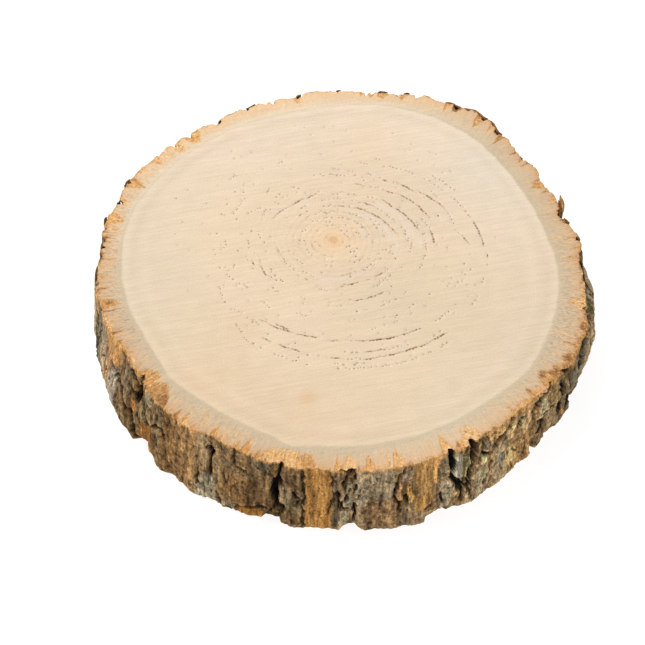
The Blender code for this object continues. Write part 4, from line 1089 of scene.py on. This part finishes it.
def wood_points(rim_turns, limits, spacing, turn):
    """Points in mm within the limits of a sawn face, in pits and loose, with how deep and dark each is."""
    draw = np.random.default_rng(int(turn) + 9)
    middles, edges = line_points(turn)
    shape = np.tile((0.3, 0.7, 0.0, 0.0), (len(middles), 1))
    places = pit_places(turn, np.concatenate((middles[:, :2], shape), axis=1))
    steps = np.arange(-104.0, 104.0, spacing)
    x, y = np.meshgrid(steps, steps)
    odd = (np.arange(len(steps)) % 2)[:, None]
    x = x + 0.5 * spacing * odd + draw.uniform(-0.3, 0.3, x.shape) * spacing
    y = y + draw.uniform(-0.3, 0.3, y.shape) * spacing
    loose = np.stack((x.ravel(), y.ravel()), axis=-1)
    turns = np.degrees(np.arctan2(loose[:, 1], loose[:, 0])) % 360.0
    limit = np.interp(turns, rim_turns, limits, period=360.0)
    loose = away_from_pits(loose[np.hypot(loose[:, 0], loose[:, 1]) < limit - 0.6], places)
    loose = np.concatenate((loose, np.zeros((len(loose), 2))), axis=1)
    return np.concatenate((pit_points(places[len(middles):]), middles, edges, loose))


def make_face(name, rim, rows, spacing, turn, upward):
    """A sawn face: close rows of points across the bark, and pitted wood inside them."""
    if upward:
        halfway = 0.5 * (rim + np.roll(rim, -1, axis=0))
        rim = np.stack((rim, halfway), axis=1).reshape(-1, 3)
    columns = len(rim)
    rim_radii = np.hypot(rim[:, 0], rim[:, 1]) / MM
    angle = np.arctan2(rim[:, 1], rim[:, 0])
    rim_turns = np.degrees(angle) % 360.0
    inner_radii = cambium_radius(rim_turns) / MM - 3.5
    shares = (np.arange(rows + 1) / rows)[:, None] ** 1.12
    radii = rim_radii + (inner_radii - rim_radii) * shares
    band_x = radii * np.cos(angle)
    band_y = radii * np.sin(angle)

    edge = np.stack((band_x[-1], band_y[-1], 0 * band_x[-1], 0 * band_x[-1]), axis=-1)
    inside = np.concatenate((edge, wood_points(rim_turns, inner_radii, spacing, turn)))
    flat = [Vector(place) for place in inside[:, :2].tolist()]
    _, _, triangles, origins, _, _ = delaunay_2d_cdt(flat, [], [list(range(columns))], 1, 1e-5)
    numbers = np.arange((rows + 1) * columns).reshape(rows + 1, columns)
    number_of = np.array([source[0] if source else -1 for source in origins])
    inner_faces = number_of[np.array(triangles)] + numbers[-1, 0]
    band = np.stack((band_x.ravel(), band_y.ravel()), axis=-1)
    points = np.concatenate((band, inside[columns:, :2]))
    sunk = np.concatenate((np.zeros(len(band)), inside[columns:, 2]))
    dark = np.concatenate((np.zeros(len(band)), inside[columns:, 3]))

    tone, depth, stringy, torn = sawn_wood(points[:, 0], points[:, 1], rim_turns, rim_radii, turn)
    tone = mixed(tone, PIT, np.clip(dark, 0.0, 0.95))
    # Painted highlight round the pits and along the edges of the lines
    tone = mixed(tone, PIT_RIM_HIGHLIGHT, np.clip(-dark, 0.0, 0.9))
    rim_drop = HEIGHT - rim[:, 2] / MM if upward else rim[:, 2] / MM
    fade = np.exp(-((rim_radii - radii) / 0.7)).ravel()
    depth[:len(band)] += np.tile(rim_drop - depth[:columns], rows + 1) * fade
    depth = np.maximum(depth + sunk, 0.0)
    solid = np.column_stack((points, HEIGHT - depth if upward else depth)) * MM
    solid[:columns] = rim
    if upward:
        band_faces = [ring_quads(b, a) for a, b in zip(numbers, numbers[1:])]
    else:
        band_faces = [ring_quads(a, b) for a, b in zip(numbers, numbers[1:])]
        inner_faces = inner_faces[:, ::-1]
    layers = {"stringy": stringy, "torn": torn}
    return build_mesh(name, solid, [np.concatenate(band_faces), inner_faces], tone, layers)


def set_inputs(tree, node, values):
    """Sets a node's inputs, where a value may also be another node's output."""
    for key, value in values.items():
        if isinstance(value, bpy.types.NodeSocket):
            tree.links.new(value, node.inputs[key])
        else:
            node.inputs[key].default_value = value


def add_node(tree, kind, inputs=None, **settings):
    """A shader node with its settings and inputs."""
    made = tree.nodes.new(kind)
    for key, value in settings.items():
        setattr(made, key, value)
    set_inputs(tree, made, inputs or {})
    return made


def vector_node(tree, operation, *values, scale=None):
    """The outcome of vector maths on some values."""
    inputs = dict(enumerate(values))
    if scale is not None:
        inputs["Scale"] = scale
    made = add_node(tree, "ShaderNodeVectorMath", inputs, operation=operation)
    return made.outputs["Value" if operation == "LENGTH" else "Vector"]


def noise_node(tree, place, scale, turn=0.0, detail=3.0, rough=0.55):
    """Noise whose bumps are as far apart as 1/scale along each axis, in metres, turned by some degrees."""
    steps = [1.0 / part for part in scale]
    inputs = {"Vector": place, "Rotation": (0, 0, np.radians(turn)), "Scale": steps}
    mapping = add_node(tree, "ShaderNodeMapping", inputs, vector_type="TEXTURE")
    look = {"Vector": mapping.outputs[0], "Scale": 1.0, "Detail": detail, "Roughness": rough}
    return add_node(tree, "ShaderNodeTexNoise", look).outputs["Fac"]


def spread_node(tree, value, low, high, start=0.3, end=0.7):
    """A value brought from its usual range to another range."""
    ranges = {"Value": value, "From Min": start, "From Max": end, "To Min": low, "To Max": high}
    return add_node(tree, "ShaderNodeMapRange", ranges).outputs["Result"]


def product_node(tree, *values):
    """The product of some values."""
    total = values[0]
    for value in values[1:]:
        total = add_node(tree, "ShaderNodeMath", {0: total, 1: value}, operation="MULTIPLY").outputs[0]
    return total


def start_material(name, roughness, specular):
    """A new material with its shader, its place in space and the mesh's own colour."""
    material = bpy.data.materials.new(name)
    material.use_nodes = True
    tree = material.node_tree
    shader = tree.nodes["Principled BSDF"]
    set_inputs(tree, shader, {"Roughness": roughness, "Specular IOR Level": specular})
    place = tree.nodes.new("ShaderNodeTexCoord").outputs["Object"]
    tone = add_node(tree, "ShaderNodeAttribute", attribute_name="tone").outputs["Color"]
    return material, tree, shader, place, tone


def finish_material(tree, shader, tone, factor, bumps):
    """Joins colour and bumps to the shader. Each bump is a value with its height in metres."""
    tree.links.new(vector_node(tree, "SCALE", tone, scale=factor), shader.inputs["Base Color"])
    normal = None
    for value, height in bumps:
        inputs = {"Height": value, "Distance": height, "Strength": 1.0}
        if normal:
            inputs["Normal"] = normal
        normal = add_node(tree, "ShaderNodeBump", inputs).outputs[0]
    tree.links.new(normal, shader.inputs["Normal"])


def make_bark_material():
    """Rough dry bark: the mesh's colour, broken up by upright fibres, crumbs and pale specks."""
    material, tree, shader, place, tone = start_material("bark", 0.93, 0.15)
    fibres = noise_node(tree, place, (1100, 1100, 130), detail=5.0, rough=0.65)
    crumbs = noise_node(tree, place, (1500, 1500, 1100), detail=4.0, rough=0.6)
    specks = noise_node(tree, place, (1100, 1100, 700), detail=1.0)
    factor = product_node(tree, spread_node(tree, fibres, 0.6, 1.42, 0.34, 0.66),
                          spread_node(tree, crumbs, 0.66, 1.34),
                          spread_node(tree, specks, 1.0, 1.5, 0.58, 0.70),
                          spread_node(tree, specks, 0.45, 1.0, 0.30, 0.42))
    finish_material(tree, shader, tone, factor, ((crumbs, 0.0007), (fibres, 0.0006)))
    return material


def radial_place(tree, place):
    """A point's place as if unrolled: where its direction meets a fixed circle, and its distance."""
    flat = vector_node(tree, "MULTIPLY", place, FLATTEN)
    away = vector_node(tree, "LENGTH", flat)
    unit = vector_node(tree, "NORMALIZE", flat)
    circle = vector_node(tree, "SCALE", unit, scale=GRAIN_CIRCLE * MM)
    height = add_node(tree, "ShaderNodeCombineXYZ", {"Z": away})
    return vector_node(tree, "ADD", circle, height.outputs[0])


def year_lines(tree, place):
    """The factors of the faint brown year lines round the pith, which fade outwards."""
    moved = vector_node(tree, "ADD", place, (-PITH[0] * MM, -PITH[1] * MM, 0.0))
    flat = vector_node(tree, "MULTIPLY", moved, FLATTEN)
    away = vector_node(tree, "LENGTH", flat)
    look = {"Vector": flat, "Scale": 112.0, "Distortion": 2.2, "Detail": 2.5, "Detail Scale": 0.7}
    wave = add_node(tree, "ShaderNodeTexWave", look, wave_type="RINGS", rings_direction="Z",
                    wave_profile="SIN")
    lines = spread_node(tree, wave.outputs["Fac"], 0.0, 1.0, 0.72, 0.98)
    gaps = noise_node(tree, place, (500, 500, 500), detail=4.0, rough=0.7)
    lines = product_node(tree, lines, spread_node(tree, gaps, 0.0, 1.0, 0.38, 0.58),
                         spread_node(tree, away, 1.0, 0.0, 0.012, 0.045))
    return vector_node(tree, "MULTIPLY_ADD", lines, (-0.05, -0.12, -0.22), (1.01, 1.01, 1.01))


def make_wood_material():
    """Sawn wood: the mesh's colour with the saw's parallel marks, a woolly grain and radial scratches."""
    material, tree, shader, place, tone = start_material("sawn_wood", 0.74, 0.25)
    marks = noise_node(tree, place, (40, 1100, 60), turn=SAW_TURN, detail=2.0)
    hair = noise_node(tree, place, (160, 2400, 200), turn=SAW_TURN, detail=3.0, rough=0.6)
    grain = noise_node(tree, place, (1500, 1500, 1500), detail=4.0, rough=0.65)

    stringy = add_node(tree, "ShaderNodeAttribute", attribute_name="stringy").outputs["Fac"]
    torn = add_node(tree, "ShaderNodeAttribute", attribute_name="torn").outputs["Fac"]
    spot = radial_place(tree, place)
    scratches = noise_node(tree, spot, (2300, 2300, 560), detail=2.0)
    long_streaks = noise_node(tree, spot, (1500, 1500, 160))
    total = 1.0
    for line in (spread_node(tree, scratches, -0.16, 0.0, 0.34, 0.44),
                 spread_node(tree, scratches, 0.0, 0.08, 0.57, 0.66),
                 spread_node(tree, long_streaks, -0.05, 0.05)):
        inputs = {0: total, 1: product_node(tree, line, stringy)}
        total = add_node(tree, "ShaderNodeMath", inputs, operation="ADD").outputs[0]
    factor = product_node(tree, spread_node(tree, marks, 0.955, 1.038), spread_node(tree, hair, 0.95, 1.042),
                          spread_node(tree, grain, 0.90, 1.08), total)

    bits = noise_node(tree, place, (1200, 1200, 1200), detail=3.0, rough=0.7)
    bits = product_node(tree, spread_node(tree, bits, -1.0, 1.0, 0.36, 0.64), torn)
    warmer = vector_node(tree, "MULTIPLY_ADD", bits, (0.16, 0.30, 0.46), (1.0, 0.98, 0.95))
    tone = vector_node(tree, "MULTIPLY", tone, warmer)
    tone = vector_node(tree, "MULTIPLY", tone, year_lines(tree, place))
    bumps = ((marks, 0.00012), (hair, 0.00006), (grain, 0.00012), (total, 0.0003), (bits, 0.00004))
    finish_material(tree, shader, tone, factor, bumps)
    return material


def make_flake(draw, wall, direction, off, top, wide, tall, thick, lean, color):
    """Points, faces and colours of one flake of bark that follows the wall, in metres."""
    across, down = 6, 8
    u, v = np.meshgrid(np.linspace(-1, 1, across), np.linspace(1, -1, down))
    sawn = 0.0 if top > SAWN_FLAKE else 1.0
    narrow = 1.0 - draw.uniform(0.25, 0.8) * np.clip(-v, 0, 1) ** 1.6 - 0.5 * sawn * np.clip(v, 0, 1) ** 2.4
    side = 0.5 * wide * (u * narrow + draw.uniform(-0.25, 0.25) * (1.0 - v))
    side += draw.uniform(-0.08, 0.08, v.shape) * min(wide, 5.0)
    high = top - 0.5 * tall * (1.0 - v) + draw.uniform(-0.03, 0.03, v.shape) * tall * (1.0 - v)
    rows = np.clip(((HEIGHT - high) / HEIGHT * BARK_ROWS).astype(int), 0, BARK_ROWS)
    turns = direction + np.degrees(side / FLAKE_RADIUS)
    columns = np.round(turns / 360.0 * COLUMNS).astype(int) % COLUMNS
    out = wall[rows, columns] / MM + off + lean * v + draw.uniform(-0.15, 0.15, v.shape)
    layers = []
    for offset in (0.5 * thick, -0.5 * thick):
        r = out + offset * (1.0 - 0.7 * np.maximum(np.abs(u), np.maximum(-v, sawn * v)) ** 3)
        turn = np.radians(direction) + side / r
        layers.append(np.stack((r * np.cos(turn), r * np.sin(turn), high), axis=-1))
    points = np.concatenate([layer.reshape(-1, 3) for layer in layers]) * MM
    grid = np.arange(across * down).reshape(down, across)
    front = np.stack((grid[:-1, :-1], grid[1:, :-1], grid[1:, 1:], grid[:-1, 1:]), axis=-1).reshape(-1, 4)
    back = front[:, ::-1] + across * down
    edge = np.concatenate((grid[0, :-1], grid[:-1, -1], grid[-1, :0:-1], grid[:0:-1, 0]))
    after = np.roll(edge, -1)
    hem = np.stack((edge, after, after + across * down, edge + across * down), axis=-1)
    tone = np.tile(color * draw.uniform(0.85, 1.15), (len(points), 1))
    tone *= draw.uniform(0.75, 1.2, (len(points), 1))
    tone[across * down:] *= 0.85
    return points, np.concatenate((front, back, hem)), tone


# Loose flakes that stand off the bark: direction, mm out from the wall, top of the flake in mm above
# the floor, width, height, thickness, lean outwards at its top, colour
FLAKES = (
    (23.2, 1.0, 42.4, 9.5, 9.0, 1.4, 0.9, (206, 152, 92)),
    (22.4, 0.3, 41.8, 9.0, 8.0, 1.0, 0.2, (150, 100, 54)),
    (20.2, 0.4, 42.0, 2.6, 8.0, 0.8, 0.2, DARK_BROWN), (18.0, 0.3, 41.8, 3.4, 7.0, 0.8, 0.2, BROWN),
    (6.8, 0.3, 41.4, 6.5, 16.0, 1.1, 0.3, DARK_BROWN),
    (1.2, 0.8, 41.0, 11.0, 22.0, 1.3, 0.3, (176, 152, 118)),
    (52.4, 0.2, 41.2, 11.0, 10.0, 1.1, 0.2, (160, 112, 74)),
    (58.2, 0.3, 41.4, 13.0, 12.0, 1.2, 0.3, (168, 118, 78)),
    (63.8, 0.2, 41.2, 9.0, 9.0, 1.1, 0.2, (156, 114, 78)),
    (75.5, 0.1, 41.6, 2.6, 6.0, 0.8, 0.2, DARK_BROWN), (81.2, 0.1, 41.6, 4.6, 7.0, 0.8, 0.2, DARK_BROWN),
    (92.0, 0.1, 41.6, 2.4, 6.0, 0.8, 0.2, DARK_BROWN), (102.0, 0.1, 41.6, 2.4, 6.0, 0.8, 0.2, BROWN),
    (114.5, 0.1, 41.6, 5.0, 8.0, 0.8, 0.2, DARK_BROWN), (154.5, 0.2, 41.5, 5.0, 8.0, 0.9, 0.2, BROWN),
    (161.0, 0.1, 41.6, 2.2, 6.0, 0.8, 0.2, DARK_BROWN),
    (167.0, 0.2, 41.4, 3.6, 8.0, 0.9, 0.2, DARK_BROWN), (174.5, 0.2, 41.4, 5.4, 9.0, 0.9, 0.2, BROWN),
    (184.0, 0.1, 41.7, 8.0, 8.0, 0.8, 0.1, DARK_BROWN), (286.9, 0.8, 27.0, 1.0, 10.0, 0.8, 0.2, PALE),
    (298.6, 0.6, 40.0, 2.4, 18.0, 1.0, 0.1, LIGHT_GREY),
)


def make_flakes(bark_radius, bark_tone):
    """All the loose flakes of bark as one piece."""
    draw = np.random.default_rng(FLAKE_SEED)
    listed = list(FLAKES)
    for _ in range(SEEDED_FLAKES):
        direction = draw.uniform(8, 178)
        tall = draw.uniform(6.0, 13.0)
        listed.append((direction, draw.uniform(-0.1, 0.25), draw.uniform(tall + 1.0, 38.0),
                       draw.uniform(1.0, 2.3), tall, draw.uniform(0.4, 0.65), draw.uniform(-0.1, 0.4), None))
    wall = blurred(bark_radius, 6)
    wall = wall + 0.7 * np.maximum(blurred(np.maximum(bark_radius - wall, 0.0), 3) * 2.0, 0.0)
    points, faces, tones = [], [], []
    total = 0
    for direction, off, top, wide, tall, thick, lean, kind in listed:
        column = round(direction / 360.0 * COLUMNS) % COLUMNS
        row = min(max(round((HEIGHT - top + 0.5 * tall) / HEIGHT * BARK_ROWS), 1), BARK_ROWS - 1)
        near_rows = np.arange(max(row - 6, 0), min(row + 7, BARK_ROWS))
        patch = np.ix_(near_rows, np.arange(column - 8, column + 9) % COLUMNS)
        color = linear(kind) if kind else 1.1 * np.median(bark_tone[patch].reshape(-1, 3), axis=0)
        flake, quads, tone = make_flake(draw, wall, direction, off, top, wide, tall, thick, lean, color)
        points.append(flake)
        faces.append(quads + total)
        tones.append(tone)
        total += len(flake)
    return build_mesh("bark_flakes", np.concatenate(points), [np.concatenate(faces)], np.concatenate(tones))


def make_studio():
    """A plain pale floor, soft light from all round and a soft key light from above."""
    floor = bpy.data.meshes.new("floor")
    floor.from_pydata([(-4, -4, 0), (4, -4, 0), (4, 4, 0), (-4, 4, 0)], [], [(0, 1, 2, 3)])
    thing = new_object("floor", floor)
    pale = bpy.data.materials.new("pale_floor")
    pale.use_nodes = True
    set_inputs(pale.node_tree, pale.node_tree.nodes["Principled BSDF"],
               {"Base Color": (0.3, 0.3, 0.3, 1.0), "Roughness": 1.0, "Specular IOR Level": 0.0,
                "Emission Color": WHITE, "Emission Strength": FLOOR_GLOW})
    floor.materials.append(pale)

    world = bpy.data.worlds.new("studio")
    bpy.context.scene.world = world
    world.use_nodes = True
    set_inputs(world.node_tree, world.node_tree.nodes["Background"],
               {"Color": WHITE, "Strength": SKY_STRENGTH})

    key = bpy.data.lights.new("key", "SUN")
    key.energy = KEY_ENERGY
    key.angle = np.radians(KEY_SPREAD)
    new_object("key", key).rotation_euler = Vector(KEY_AIM).to_track_quat("-Z", "Y").to_euler()


def make_camera():
    """The camera at the photograph's place."""
    view = bpy.data.cameras.new("camera")
    view.sensor_fit = "HORIZONTAL"
    view.sensor_width = 36.0
    view.lens = CAMERA_LENS
    view.clip_end = 20.0
    holder = new_object("camera", view)
    holder.location = CAMERA_PLACE
    holder.rotation_euler = [np.radians(turn) for turn in CAMERA_TURNS]
    bpy.context.scene.camera = holder


def main():
    """Builds every piece and lights it."""
    scene = bpy.context.scene
    scene.view_settings.view_transform = "Standard"
    scene.view_settings.look = "None"
    make_camera()
    make_studio()
    bark, top_rim, under_rim, bark_radius, bark_tone = make_bark()
    top = make_face("sawn_top", top_rim, RIM_ROWS, WOOD_SPACING, 0.0, True)
    under = make_face("sawn_under", under_rim, UNDER_RIM_ROWS, UNDER_SPACING, 137.0, False)
    flakes = make_flakes(bark_radius, bark_tone)
    bark_look = make_bark_material()
    wood_look = make_wood_material()
    for piece, look in ((bark, bark_look), (top, wood_look), (under, wood_look), (flakes, bark_look)):
        piece.data.materials.append(look)
        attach(piece, "root")
        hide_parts("log_slice")


main()
